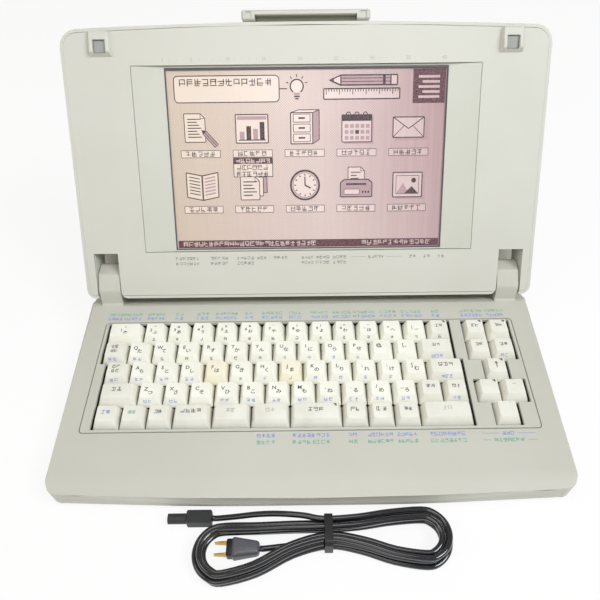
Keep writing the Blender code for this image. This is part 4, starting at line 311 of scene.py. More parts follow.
def around(angle, radius, x=0.0, y=0.0):
    """The point at an angle, in degrees, on a circle round a point."""
    turn = math.radians(angle)
    return x + radius * math.cos(turn), y + radius * math.sin(turn)


# Finishes


def shade(code):
    """A colour as a shader reads it, from its usual screen code."""
    parts = [((code >> shift) & 255) / 255 for shift in (16, 8, 0)]
    return [c / 12.92 if c <= 0.04045 else ((c + 0.055) / 1.055) ** 2.4 for c in parts] + [1]


class Wire:
    """A socket of a finish, on which sums work as they do on a number."""

    def __init__(self, finish, socket):
        self.finish = finish
        self.socket = socket

    def sum_of(self, operation, first, second):
        return self.finish.node("ShaderNodeMath", {0: first, 1: second}, operation=operation)

    def __add__(self, other):
        return self.sum_of("ADD", self, other)

    def __sub__(self, other):
        return self.sum_of("SUBTRACT", self, other)

    def __rsub__(self, other):
        return self.sum_of("SUBTRACT", other, self)

    def __mul__(self, other):
        return self.sum_of("MULTIPLY", self, other)

    __radd__ = __add__
    __rmul__ = __mul__


class Finish:
    """A finish on the Principled shader, with patterns in the piece's own coordinates."""

    def __init__(self, name, colour, roughness, **fixed):
        self.material = bpy.data.materials.new(name)
        self.material.use_nodes = True
        self.tree = self.material.node_tree
        self.shader = self.tree.nodes["Principled BSDF"]
        self.shader.inputs["Base Color"].default_value = colour
        self.shader.inputs["Roughness"].default_value = roughness
        for socket, value in fixed.items():
            self.shader.inputs[socket.replace("_", " ")].default_value = value

    def node(self, kind, inputs=None, output=0, **settings):
        """Adds a node with its settings and inputs, and gives one of its outputs."""
        made = self.tree.nodes.new(kind)
        for name, value in settings.items():
            setattr(made, name, value)
        for name, value in (inputs or {}).items():
            if isinstance(value, Wire):
                self.tree.links.new(value.socket, made.inputs[name])
            else:
                made.inputs[name].default_value = value
        return Wire(self, made.outputs[output])

    def place(self):
        return self.node("ShaderNodeTexCoord", output=3)

    def scaled(self, scale, place=None):
        """The piece's coordinates, stretched along each axis."""
        return self.node("ShaderNodeMapping", {"Vector": place or self.place(), "Scale": scale})

    def noise(self, scale, detail=2.0, place=None):
        inputs = {"Vector": place or self.place(), "Scale": scale, "Detail": detail}
        return self.node("ShaderNodeTexNoise", inputs)

    def mix(self, factor, first, second):
        return self.node("ShaderNodeMix", {0: factor, 6: first, 7: second}, 2, data_type="RGBA")

    def step(self, value, low, high):
        """Rises from 0 to 1 as a value goes from low to high."""
        return self.node("ShaderNodeMapRange", {"Value": value, "From Min": low, "From Max": high}, clamp=True)

    def feed(self, socket, wire):
        self.tree.links.new(wire.socket, self.shader.inputs[socket])
        return self

    def bump(self, height, strength, distance):
        inputs = {"Strength": strength, "Distance": distance, "Height": height}
        return self.feed("Normal", self.node("ShaderNodeBump", inputs))


def moulded(name, code, worn, roughness=0.5, grain=1500, depth=0.25, patch=14):
    """Moulded plastic: a fine spark texture, slightly uneven colour and handled patches."""
    finish = Finish(name, shade(code), roughness)
    place = finish.place()
    spark = finish.noise(grain, 1.0, place)
    cloud = finish.step(finish.noise(patch, 4.0, place), 0.35, 0.75)
    finish.feed("Base Color", finish.mix(cloud * 0.6, shade(code), shade(worn)))
    finish.feed("Roughness", (spark - 0.5) * 0.16 + (cloud * -0.08 + roughness))
    return finish.bump(spark, depth, 0.0002)


def printed(name, code):
    """Printed ink, thinner in places."""
    colour = shade(code)
    finish = Finish(name, colour, 0.6)
    thin = finish.step(finish.noise(900, 2.0), 0.35, 0.75)
    lighter = [c + (0.6 - c) * 0.35 for c in colour[:3]] + [1]
    return finish.feed("Base Color", finish.mix(thin * 0.5, colour, lighter))


def rolled(name, code, roughness):
    """Rolled or drawn metal with fine lines along X."""
    finish = Finish(name, shade(code), roughness, Metallic=1.0)
    lines = finish.noise(1.0, 2.0, finish.scaled((40, 1500, 1500)))
    finish.feed("Roughness", lines * 0.25 + (roughness - 0.1))
    return finish.bump(lines, 0.15, 0.0001)


def rubber_finish():
    """Dark rubber with a little dust."""
    finish = Finish("foot_rubber", shade(0x222222), 0.75)
    dust = finish.step(finish.noise(260, 4.0), 0.5, 0.8)
    finish.feed("Base Color", finish.mix(dust * 0.25, shade(0x222222), shade(0x6A6862)))
    finish.feed("Roughness", dust * 0.2 + 0.75)
    return finish.bump(finish.noise(1800, 1.0), 0.2, 0.0002)


def display_base(finish, left, middle, right):
    """The display's colour from its left side to its right, with its fine upright streaks."""
    place = finish.place()
    across = finish.node("ShaderNodeSeparateXYZ", {"Vector": place})
    up = Wire(finish, across.socket.node.outputs[2])
    low, high = ((LID @ Vector((0, DISPLAY_Y + side * WINDOW_Y, PANEL_TOP))).z for side in (-1, 1))
    rise = finish.step(up, low, high)
    run = finish.step(across, -WINDOW_X, WINDOW_X)
    warm = finish.step(run * 0.85 - rise * 0.1, 0.0, 0.45)
    base = finish.mix(warm, shade(left), shade(middle))
    base = finish.mix(finish.step(run + rise * 0.2, 0.62, 1.15), base, shade(right))
    streaks = finish.step(finish.noise(1.0, 2.0, finish.scaled((420, 12, 12), place)), 0.3, 0.8)
    return finish.mix(streaks * 0.25, base, shade(0xEFD3CC))


def display_finish():
    """The display's unlit dots: cream at the left to mauve at the right, with its dither."""
    finish = Finish("display_dots", shade(0xDFC6C2), 0.32, Coat_Weight=0.2, Coat_Roughness=0.2)
    base = display_base(finish, 0xD5C4B1, 0xDECBC8, 0xB3969A)
    turn = {"Vector": finish.place(), "Rotation": (TILT + LEAN, 0, 0)}
    turned = finish.node("ShaderNodeMapping", turn, vector_type="TEXTURE")
    dots = finish.node("ShaderNodeTexChecker", {"Vector": turned, "Scale": 1 / DITHER}, 1)
    return finish.feed("Base Color", finish.mix(dots * 0.3, base, shade(0x8E666C)))


def display_paper():
    """Fields of the picture without dither."""
    finish = Finish("display_paper", shade(0xE9D4CC), 0.32, Coat_Weight=0.2, Coat_Roughness=0.2)
    return finish.feed("Base Color", display_base(finish, 0xE2D2C2, 0xE6D4D0, 0xC3A9AC))


def cord_finish():
    """The cord's glossy sheath, a little dusty."""
    finish = Finish("cord_sheath", shade(0x10121A), 0.16, Coat_Weight=0.9, Coat_Roughness=0.06)
    dust = finish.step(finish.noise(300, 3.0), 0.5, 0.85)
    finish.feed("Base Color", finish.mix(dust * 0.25, shade(0x10121A), shade(0x2C2E3A)))
    finish.feed("Roughness", dust * 0.16 + 0.14)
    return finish.bump(finish.noise(420, 2.0), 0.03, 0.0002)


def board_finish():
    """Green board with the paler tracks of its copper."""
    finish = Finish("circuit_board", shade(0x1E5A34), 0.45)
    place = finish.scaled((260, 90, 90))
    track = finish.node("ShaderNodeTexChecker", {"Vector": place, "Scale": 1.0}, 1)
    return finish.feed("Base Color", finish.mix(track * 0.3, shade(0x1E5A34), shade(0x3F8A55)))


# Roughness, grain, its depth and the patches of a key's plastic
CAP_LOOK = (0.33, 2200, 0.18, 60)

CASE = moulded("case_grey", 0xC7C6BC, 0xBFBDB2)
LID_GREY = moulded("lid_grey", 0xCFCEC5, 0xC8C7BD)
BEZEL_GREY = moulded("bezel_grey", 0xCACAC0, 0xC4C4B9)
IVORY = moulded("key_ivory", 0xF4F3E9, 0xEBE8DB, *CAP_LOOK)
YELLOWED = moulded("key_yellowed", 0xF4EFDC, 0xEFE6CA, *CAP_LOOK)
KEY_GREY = moulded("key_warm_grey", 0xEBE9DF, 0xDEDBCE, *CAP_LOOK)
DARK = moulded("dark_grey_plastic", 0x2C2C2E, 0x353536, 0.5, 1800, 0.2)
BLACK = moulded("black_plastic", 0x141416, 0x1E1E20, 0.38, 1800, 0.15)
PAD_GREY = moulded("pad_grey", 0x9FA19D, 0x8E908C, 0.6, 1500, 0.3, 90)
# Painted shade: a dark grey strip laid at the bottom of the groove round the keys
SHADOW_GREY = moulded("groove_painted_shade", 0x7E7C74, 0x74726A, 0.6)
# A dark gasket round the window; its wider top band is painted shadow of the window's recess
GASKET_AND_PAINTED_SHADE = moulded("window_gasket_painted_shade", 0x55535A, 0x48464C, 0.55, 1800, 0.2)
# A darker grey that paints the shade inside the handle's channel
CHANNEL_PAINTED_SHADE = moulded("channel_painted_shade", 0xA9A89A, 0x9C9B8E, 0.55)
WHITE_SHEET = moulded("backlight_sheet", 0xE8E8E4, 0xDEDED8)
PLUG_GREY = moulded("plug_body_grey", 0x58585D, 0x4A4A50, 0.3, 1500, 0.15)
INK_BLACK = printed("ink_black", 0x23211F)
INK_BLUE = printed("ink_blue", 0x6F86DC)
INK_GREEN = printed("ink_green", 0x55AE92)
INK_GREY = printed("ink_grey", 0x6E706C)
INK_PALE = printed("ink_pale", 0xB2B2AB)
DISPLAY_INK = printed("display_ink", 0x3E2229)
DISPLAY_BAR = printed("display_bar", 0x5A2C3A)
DISPLAY_TONE = printed("display_tone", 0xB3949A)
STEEL = rolled("drawn_steel", 0xB9BABD, 0.3)
BRASS = rolled("plug_brass", 0xC9A45A, 0.28)
RUBBER = rubber_finish()
DISPLAY = display_finish()
DISPLAY_PAPER = display_paper()
SHEATH = cord_finish()
BOARD = board_finish()


# Printed marks: rows of small strokes that stand for words


UNIT = box("unit_stroke", (0, 0, 0), (1, 1, 1))


class Print:
    """Gathers thin bars on a plane of the deck or the lid into one piece."""

    def __init__(self):
        self.shape = bmesh.new()

    def bar(self, low_x, low_y, high_x, high_y, level, place=None):
        size = Matrix.Diagonal((high_x - low_x, high_y - low_y, PRINT, 1))
        spot = Matrix.Translation((low_x, low_y, level)) @ size
        start = len(self.shape.verts)
        self.shape.from_mesh(UNIT.data)
        self.shape.verts.ensure_lookup_table()
        spot = place @ spot if place else spot
        bmesh.ops.transform(self.shape, matrix=spot, verts=self.shape.verts[start:])

    def shape_of(self, corners, level):
        """A flat piece with the given corners, counter-clockwise."""
        low = [self.shape.verts.new((x, y, level)) for x, y in corners]
        high = [self.shape.verts.new((x, y, level + PRINT)) for x, y in corners]
        self.shape.faces.new(high)
        self.shape.faces.new(low[::-1])
        for index, vert in enumerate(low):
            after = (index + 1) % len(low)
            self.shape.faces.new((vert, low[after], high[after], high[index]))

    def line(self, start, end, width, level):
        """A straight line of a width from one point to another."""
        start, end = Vector(start), Vector(end)
        along = end - start
        side = Vector((-along.y, along.x)).normalized() * width / 2
        self.shape_of((start - side, end - side, end + side, start + side), level)

    def arc(self, middle, radius, width, level, start=0, end=360):
        """Part of a ring, measured in degrees from the right."""
        count = max(2, round(RING_SIDES * (end - start) / 360))
        angles = [start + (end - start) * index / count for index in range(count + 1)]
        inner = radius - width / 2
        outer = radius + width / 2
        for here, there in zip(angles, angles[1:]):
            turns = ((here, inner), (here, outer), (there, outer), (there, inner))
            self.shape_of([around(angle, reach, *middle) for angle, reach in turns], level)

    def mark(self, x, y, size, level, place=None):
        """One mark: two or three strokes across and one or two down, in a square."""
        thin = size * 0.13
        for share in DRAW.sample((0.0, 0.29, 0.58, 0.87), DRAW.choice((2, 3))):
            left = x + DRAW.choice((0, 0.1, 0.25)) * size
            right = x + DRAW.choice((0.75, 0.9, 1.0)) * size
            self.bar(left, y + share * size, right, y + share * size + thin, level, place)
        for share in DRAW.sample((0.05, 0.43, 0.8), DRAW.choice((1, 2))):
            low = y + DRAW.choice((0, 0.2)) * size
            self.bar(x + share * size, low, x + share * size + thin, y + size, level, place)

    def word(self, low_x, high_x, low_y, size, level, place=None):
        """Marks side by side from low_x to high_x."""
        count = max(1, round((high_x - low_x) / (size * 1.14)))
        pitch = (high_x - low_x) / count
        for index in range(count):
            self.mark(low_x + index * pitch, low_y, min(size, pitch * 0.9), level, place)

    def outline(self, low_x, low_y, high_x, high_y, line, level):
        """The four bars of a frame."""
        self.bar(low_x, low_y, high_x, low_y + line, level)
        self.bar(low_x, high_y - line, high_x, high_y, level)
        self.bar(low_x, low_y + line, low_x + line, high_y - line, level)
        self.bar(high_x - line, low_y + line, high_x, high_y - line, level)

    def piece(self, name, finish, body, slot, place=None):
        """Ends the print as one piece."""
        made = added(name, bpy.data.meshes.new(name))
        self.shape.to_mesh(made.data)
        self.shape.free()
        return fit(made, finish, body, slot, place=place)


def glyph(text, size):
    """A character as a thin solid, centred on the origin."""
    deselect()
    bpy.ops.object.text_add()
    label = bpy.context.object
    label.data.body = text
    label.data.size = size
    label.data.align_x = label.data.align_y = "CENTER"
    label.data.extrude = PRINT / 2
    label.data.offset = size * 0.016
    label.data.resolution_u = 2
    bpy.ops.object.convert(target="MESH")
    return bpy.context.object


# Keys


def row_keys(row):
    """Centre and width of each key of a row."""
    left = KEYS_LEFT + ROW_STARTS[row] * PITCH
    middle = KEYS_FRONT + (len(ROWS) - 1 - row) * PITCH + PITCH / 2
    keys = []
    for share in ROWS[row]:
        keys.append((left + share * PITCH / 2, middle, share))
        left += share * PITCH
    return keys


def cluster_place(column, row):
    """Centre of a key of the right-hand cluster, its columns counted from the cluster's middle."""
    return CLUSTER_X + column * PITCH, KEYS_FRONT + (4 - row) * PITCH + PITCH / 2


def keycap(share):
    """A keycap: narrow dished top, long front slope, hollow underside and a stem."""
    half_x = (share * PITCH - KEY_GAP) / 2
    half_y = (PITCH - KEY_GAP) / 2
    cap = box("keycap", (-half_x, -half_y, -KEY_SKIRT), (half_x, half_y, KEY_TOP))
    size_x = (half_x - SIDE_INSET) / half_x
    size_y = (half_y - (FRONT_INSET + BACK_INSET) / 2) / half_y
    with picked(cap, facing(2)):
        bpy.ops.transform.resize(value=(size_x, size_y, 1), center_override=(0, 0, KEY_TOP))
        bpy.ops.transform.translate(value=(0, (FRONT_INSET - BACK_INSET) / 2, 0))
    with picked(cap, lambda edge: abs(edge.verts[0].co.z - edge.verts[1].co.z) > KEY_SKIRT, "EDGE"):
        bpy.ops.mesh.bevel(offset=0.0013, segments=4)
    stem_x = STEM / 2 / ((half_x - KEY_WALL) * HOLLOW_SHARE[0])
    stem_y = STEM / 2 / ((half_y - KEY_WALL) * HOLLOW_SHARE[1])
    with picked(cap, facing(2, -1)):
        bpy.ops.mesh.inset(thickness=KEY_WALL)
        extrude(HOLLOW)
        bpy.ops.transform.resize(value=(*HOLLOW_SHARE, 1))
        bpy.ops.mesh.extrude_region_move()
        bpy.ops.transform.resize(value=(stem_x, stem_y, 1))
        extrude(STEM_LOW + KEY_SKIRT - HOLLOW)
    if share == 1:
        radius = (2 * (half_x - SIDE_INSET)) ** 2 / (8 * DISH)
        level = KEY_TOP - DISH + radius
        cut(cap, drum("dish", radius, (0, -PITCH, level), (0, PITCH, level), 720))
    return soften(cap, 0.00026, 2, 24, 32)


def top_level(share, x):
    """Height of a cap's top at a place across it."""
    if share > 1:
        return KEY_TOP
    half = (share * PITCH - KEY_GAP) / 2 - SIDE_INSET
    return KEY_TOP - DISH * (1 - min(abs(x) / half, 1) ** 2)


def front_place():
    """The plane of a cap's front slope, its origin at the middle of its lower part."""
    front = -(PITCH - KEY_GAP) / 2
    low = Vector((0, front, -KEY_SKIRT))
    high = Vector((0, front + FRONT_INSET, KEY_TOP))
    right = Vector((1, 0, 0))
    up = (high - low).normalized()
    out = right.cross(up)
    turn = Matrix((right, up, out)).transposed().to_4x4()
    return Matrix.Translation(low.lerp(high, 0.62) + out * CAP_LAID) @ turn


CAPS = {share: keycap(share) for share in (1, 1.5, 2)}
GLYPHS = {}
FRONT = front_place()

# The characters of the letter keys in pairs; below the number row the first key has none
LETTERS = (
    "1ぬ2ふ3あ4う5え6お7や8ゆ9よ0わ-ほ^へ|ー",
    "QたWてEいRすTかYんUなIにOらPせ@゛[゜",
    "AちSとDしFはGきHくJまKのLり;れ:け]む",
    "ZつXさCそVひBこNみMも,ね.る/め_ろ",
)
SHIFTED = "!\"#$%&'()=~"

# Size and place of each character on its cap; the number row has the shifted sign as its third
NUMBER_SPOTS = ((0.0038, -0.0027, 0.0011), (0.0038, 0.0008, -0.0012), (0.0031, 0.0002, 0.0042))
LETTER_SPOTS = ((0.0043, -0.0024, 0.0026), (0.0042, 0.0010, -0.0006))

# Keys whose front slope carries a blue word, one small blue mark or one larger black mark, by row
BLUE_FRONTS = {1: (0, 1, 13), 2: (0, 1, 2, 3, 13), 3: (1, 2, *range(4, 12), 13)}
SMALL_FRONTS = {1: range(7, 11), 2: range(5, 12)}
LARGE_FRONTS = {0: range(1, 14), 1: range(2, 7)}

# Warm grey caps, with the width and the lines of the word on each, and the yellowed ones
WARM_CAPS = {
    (0, 13): (0.0064, 1), (1, 0): (0.0062, 2), (2, 0): (0.0062, 2), (3, 12): (0.0064, 1), (3, 13): (0.0064, 1),
}
YELLOW_CAPS = {(2, 4), (2, 7)}

# Keys of the upper rows with a body of their own: node, width of the word on top, and a word in front
OWN_NODES = {
    (1, 13): ("backspace_key", 0.0058, True),
    (2, 13): ("return_key", 0.0118, True),
    (3, 0): ("shift_key", 0.0088, False),
}

# Keys of the front row: node, width of the word on top, and its ink
FRONT_ROW = (
    ("function_key_1", 0.0064, INK_BLUE), ("function_key_2", 0.0064, INK_GREEN),
    ("function_key_3", 0.0064, INK_BLACK), ("function_key_4", 0.0158, INK_BLACK),
    ("function_key_5", 0.0070, INK_PALE), ("function_key_6", 0.0070, INK_PALE),
    ("space_key", 0.0118, INK_BLACK), ("function_key_7", 0.0074, INK_BLACK),
    ("function_key_8", 0.0084, INK_BLACK), ("function_key_9", 0.0064, INK_BLACK),
    ("function_key_10", 0.0070, INK_PALE),
)


def legend(text, size, x, y, share):
    """A character printed on a cap's top, following its dish."""
    if (text, size) not in GLYPHS:
        GLYPHS[(text, size)] = glyph(text, size)
    mark = copy_of(GLYPHS[(text, size)], "legend", Matrix.Translation((x, y, 0)))
    for vert in mark.data.vertices:
        vert.co.z += top_level(share, vert.co.x) + CAP_LAID
    return mark


def letter_key_marks(row, column, share, place):
    """The characters on one letter key."""
    start = 2 * (column - 1 if row else column)
    signs = LETTERS[row][start:start + 2] if start >= 0 else ""
    if row == 0 and signs:
        signs += SHIFTED[column:column + 1]
    marks = []
    for sign, (size, x, y) in zip(signs, LETTER_SPOTS if row else NUMBER_SPOTS):
        marks.append(legend(sign, size, x, y, share))
        marks[-1].data.transform(place)
    return marks


def front_strokes(black, blue, row, column, share, place):
    """Prints the strokes on a cap's front slope."""
    middle = place @ FRONT
    if column in BLUE_FRONTS.get(row, ()):
        half = 0.0048 if share > 1 else 0.0037
        blue.word(-half, half, -0.0014, FRONT_WORD, 0, middle)
    elif column in SMALL_FRONTS.get(row, ()):
        blue.mark(-0.0012, -0.0013, 0.0024, 0, middle)
    elif column in LARGE_FRONTS.get(row, ()):
        black.mark(-0.0012, -0.0014, 0.0025, 0, middle)


def corner_mark(ink, share, place=None):
    """The small triangle at a cap's far right corner, as short bars."""
    edge = (share * PITCH - KEY_GAP) / 2 - SIDE_INSET - 0.0012
    step = 0.0005
    for index in range(4):
        reach = 0.0022 - index * step
        y = 0.0074 - index * step
        ink.bar(edge - reach, y - step, edge, y, top_level(share, edge) + LAID, place)


def word_on_top(ink, share, width, lines=1, place=None):
    """A word in strokes on a cap's top."""
    level = top_level(share, width / 2) + CAP_LAID
    for line in range(lines):
        y = 0.0012 + (lines - 1) * 0.0019 - line * 0.0040
        ink.word(-width / 2, width / 2, y, TOP_WORD, level, place)


def up_arrow(ink):
    """An arrow that points away from the hands."""
    level = top_level(1, 0.0012) + CAP_LAID
    ink.line((0, -0.0005), (0, 0.0049), 0.00055, level)
    for side in (-1, 1):
        ink.line((side * 0.0012, 0.0033), (side * -0.0001, 0.0050), 0.0005, level)


def worn_dash(ink):
    """What is left of an arrow that fingers have worn away."""
    ink.bar(-0.0016, 0.0036, 0.0012, 0.0041, top_level(1, 0.0016) + CAP_LAID)


def worn_tip(ink):
    """The last corner of another worn arrow."""
    ink.bar(0.0024, 0.0066, 0.0031, 0.0071, top_level(1, 0.0031) + CAP_LAID)


# The cluster at the right: node, column, row, width of the word on top, and what else it carries
CLUSTER = (
    ("edit_key_1", -0.5, 0, 0.0062, {"corner": True}),
    ("edit_key_2", 0.5, 0, 0.0062, {"corner": True}),
    ("edit_key_3", -0.5, 1, 0.0062, {}),
    ("edit_key_4", 0.5, 1, 0.0062, {"front": True}),
    ("arrow_key_up", 0, 2, 0, {"corner": True, "sign": up_arrow}),
    ("arrow_key_left", -0.5, 3, 0, {"corner": True}),
    ("arrow_key_right", 0.5, 3, 0, {"ink": INK_PALE, "sign": worn_dash}),
    ("arrow_key_down", 0, 4, 0, {"ink": INK_PALE, "sign": worn_tip}),
)


def moving_key(node, x, y, share, width, ink=INK_BLACK, corner=False, front=False, sign=None):
    """A key with a body of its own: its cap, with its marks as pieces that ride with it."""
    place = DECK @ Matrix.Translation((x, y, 0))
    body = "key_" + node.replace("_key", "")
    slot = "function_key_plastic"
    fit(copy_of(CAPS[share], node + "_cap", place), KEY_GREY, body, slot, node)
    mark = Print()
    if width:
        word_on_top(mark, share, width)
    if corner:
        corner_mark(mark, share)
    if sign:
        sign(mark)
    if width or corner or sign:
        mark.piece(node + "_print", ink, body, slot, place)
    if front:
        blue = Print()
        half = 0.0045 if share > 1 else 0.0034
        blue.word(-half, half, -0.0014, FRONT_WORD, 0, FRONT)
        blue.piece(node + "_front_print", INK_BLUE, body, slot, place)


def build_keys():
    """All the keys: the still ones joined by colour, the others with their own bodies."""
    caps = {IVORY: [], KEY_GREY: [], YELLOWED: []}
    marks = []
    black = Print()
    blue = Print()
    for row in range(4):
        for column, (x, y, share) in enumerate(row_keys(row)):
            spot = row, column
            if spot in OWN_NODES:
                continue
            place = DECK @ Matrix.Translation((x, y, 0))
            finish = KEY_GREY if spot in WARM_CAPS else YELLOWED if spot in YELLOW_CAPS else IVORY
            caps[finish].append(copy_of(CAPS[share], "cap", place))
            marks += letter_key_marks(row, column, share, place)
            front_strokes(black, blue, row, column, share, place)
            if spot in WARM_CAPS:
                word_on_top(black, share, *WARM_CAPS[spot], place)
            if spot == (0, 13):
                corner_mark(black, share, place)
    fit(joined("letter_key_caps", caps[IVORY]), IVORY, "base", "key_plastic", "keyboard_frame")
    fit(joined("edge_key_caps", caps[KEY_GREY]), KEY_GREY, "base", "key_plastic")
    fit(joined("home_key_caps", caps[YELLOWED]), YELLOWED, "base", "key_plastic")
    fit(joined("letter_key_characters", marks), INK_BLACK, "base", "key_plastic")
    black.piece("letter_key_strokes", INK_BLACK, "base", "key_plastic")
    blue.piece("letter_key_front_strokes", INK_BLUE, "base", "key_plastic")
    for (row, column), (node, width, front) in OWN_NODES.items():
        moving_key(node, *row_keys(row)[column], width, front=front)
    for (node, width, ink), key in zip(FRONT_ROW, row_keys(4)):
        moving_key(node, *key, width, ink, corner=node == "space_key")
    for node, column, row, width, rest in CLUSTER:
        moving_key(node, *cluster_place(column, row), 1, width, **rest)
    throw_away(*CAPS.values(), *GLYPHS.values())


def stem_holes():
    """The guides that the moving keys' stems slide in, as one cutter."""
    side = STEM / 2 + STEM_PLAY
    places = [row_keys(row)[column][:2] for row, column in OWN_NODES]
    places += [key[:2] for key in row_keys(4)]
    places += [cluster_place(*key[1:3]) for key in CLUSTER]
    holes = [box("hole", (x - side, y - side, -0.02), (x + side, y + side, 0)) for x, y in places]
    return joined("stem_holes", holes)


def build_key_plate():
    """The tray under the keys: a plate with a low rim and square guides for the moving stems."""
    left = KEYS_LEFT - PLATE_MARGIN
    right = CLUSTER_X + PITCH + PLATE_MARGIN
    back = KEYS_FRONT + len(ROWS) * PITCH + PLATE_MARGIN
    plate = box("keyboard_tray", (left, KEYS_FRONT - PLATE_MARGIN, PLATE_LOW), (right, back, PLATE_RIM))
    with picked(plate, facing(2)):
        bpy.ops.mesh.inset(thickness=0.0015)
        extrude(PLATE_TOP - PLATE_RIM)
    cut(plate, stem_holes())
    fit(plate, DARK, "base", "dark_plastic", "keyboard_frame", place=DECK)


# Printed words on the deck and the lid


# Left and right ends of the words above the keys and below them
WORDS_ABOVE = (
    (-0.1648, -0.1372), (-0.1327, -0.1179), (-0.1097, -0.1031), (-0.0924, -0.0817), (-0.0767, -0.0586),
    (-0.0528, -0.0453), (-0.0387, -0.0214), (-0.0164, -0.0056), (0.001, 0.0155), (0.0192, 0.035),
    (0.0358, 0.0549), (0.0582, 0.0724), (0.0757, 0.0932), (0.1007, 0.1073), (0.124, 0.1424), (0.1449, 0.1599),
)
WORDS_BELOW = (
    (-0.0383, -0.0242), (-0.0129, 0.0139), (0.0266, 0.033), (0.0401, 0.0584), (0.0606, 0.0754), (0.0839, 0.1095),
)

# Feet of the two rows of words above the keys and of the two below them, the upper row first
FEET_ABOVE = (0.1564, 0.1519)
FEET_BELOW = (0.0441, 0.0389)

# Left and right ends and lines of the words on the lid, and the feet of its two rows
LID_WORDS = (
    (-0.1078, -0.0883, 2), (-0.0794, -0.0648, 2), (-0.0583, -0.0437, 2), (-0.0420, -0.0334, 1),
    (-0.0283, -0.0166, 1), (-0.0055, 0.0043, 2), (0.006, 0.0174, 2), (0.0199, 0.0313, 2),
    (0.0485, 0.0616, 1), (0.0818, 0.0875, 1), (0.0933, 0.099, 1), (0.1048, 0.1106, 1),
)
LID_FEET = (0.0128, 0.0086)

# The column scale above the window: its ends, its columns, its level and its figures' height
SCALE_ENDS = (-0.1073, 0.1030)
SCALE_COLUMNS = 40
SCALE_Y = 0.1634
SCALE_SIZE = 0.0036


def build_deck_print():
    """The green and blue words on the deck."""
    green = Print()
    blue = Print()
    for words, inks, feet in ((WORDS_ABOVE, (green, blue), FEET_ABOVE), (WORDS_BELOW, (blue, green), FEET_BELOW)):
        for low, high in words:
            for ink, foot in zip(inks, feet):
                ink.word(low, high, foot, DECK_WORD, LAID)
    # The last word of each lower row stands between two rules
    for ink, foot, ends in (
        (blue, FEET_BELOW[0], (0.1205, 0.1325, 0.1350, 0.1440, 0.1465, 0.1585)),
        (green, FEET_BELOW[1], (0.1205, 0.1265, 0.1285, 0.1500, 0.1525, 0.1585)),
    ):
        ink.word(ends[2], ends[3], foot, DECK_WORD, LAID)
        for low, high in (ends[:2], ends[4:]):
            ink.bar(low, foot + 0.0012, high, foot + 0.0015, LAID)
    green.piece("deck_print_green", INK_GREEN, "base", "case_plastic", DECK)
    blue.piece("deck_print_blue", INK_BLUE, "base", "case_plastic", DECK)


def build_border_line():
    """A dark grey strip at the bottom of the groove round the keys: painted shade."""
    line = Print()
    left, right, low, high = BORDER
    level = LAID - GROOVE
    inner_x = (left + BORDER_TURN, right - BORDER_TURN)
    inner_y = (low + BORDER_TURN, high - BORDER_TURN)
    for index, (x, y) in enumerate(((1, 1), (0, 1), (0, 0), (1, 0))):
        corner = (inner_x[x], inner_y[y])
        line.arc(corner, BORDER_TURN, GROOVE_WIDE, level, 90 * index, 90 * index + 90)
    for y in (low, high):
        line.line((inner_x[0], y), (inner_x[1], y), GROOVE_WIDE, level)
    for x in (left, right):
        line.line((x, inner_y[0]), (x, inner_y[1]), GROOVE_WIDE, level)
    line.piece("border_groove", SHADOW_GREY, "base", "case_plastic", DECK)


def build_lid_print():
    """The words under the window and the column scale above it."""
    words = Print()
    level = FACE + LAID
    for low, high, lines in LID_WORDS:
        for foot in LID_FEET[:lines]:
            words.word(low, high, foot, LID_WORD, level)
    for low in (0.0345, 0.0635):
        words.bar(low, 0.0139, low + 0.012, 0.0141, level)
    words.piece("lid_print", INK_GREY, "lid", "lid_plastic", LID)
    scale = Print()
    marks = []
    left, right = SCALE_ENDS
    for column in range(1, SCALE_COLUMNS + 1):
        x = left + (right - left) * (column - 1) / (SCALE_COLUMNS - 1)
        if column == 1 or column % 5 == 0:
            number = glyph(str(column), SCALE_SIZE)
            number.data.transform(LID @ Matrix.Translation((x, SCALE_Y, level + PRINT / 2)))
            marks.append(number)
        else:
            scale.bar(x - 0.0002, SCALE_Y - 0.0004, x + 0.0002, SCALE_Y + 0.0004, level)
    scale.piece("column_scale_dots", INK_PALE, "lid", "lid_plastic", LID)
    fit(joined("column_scale_numbers", marks), INK_PALE, "lid", "lid_plastic")


# Display


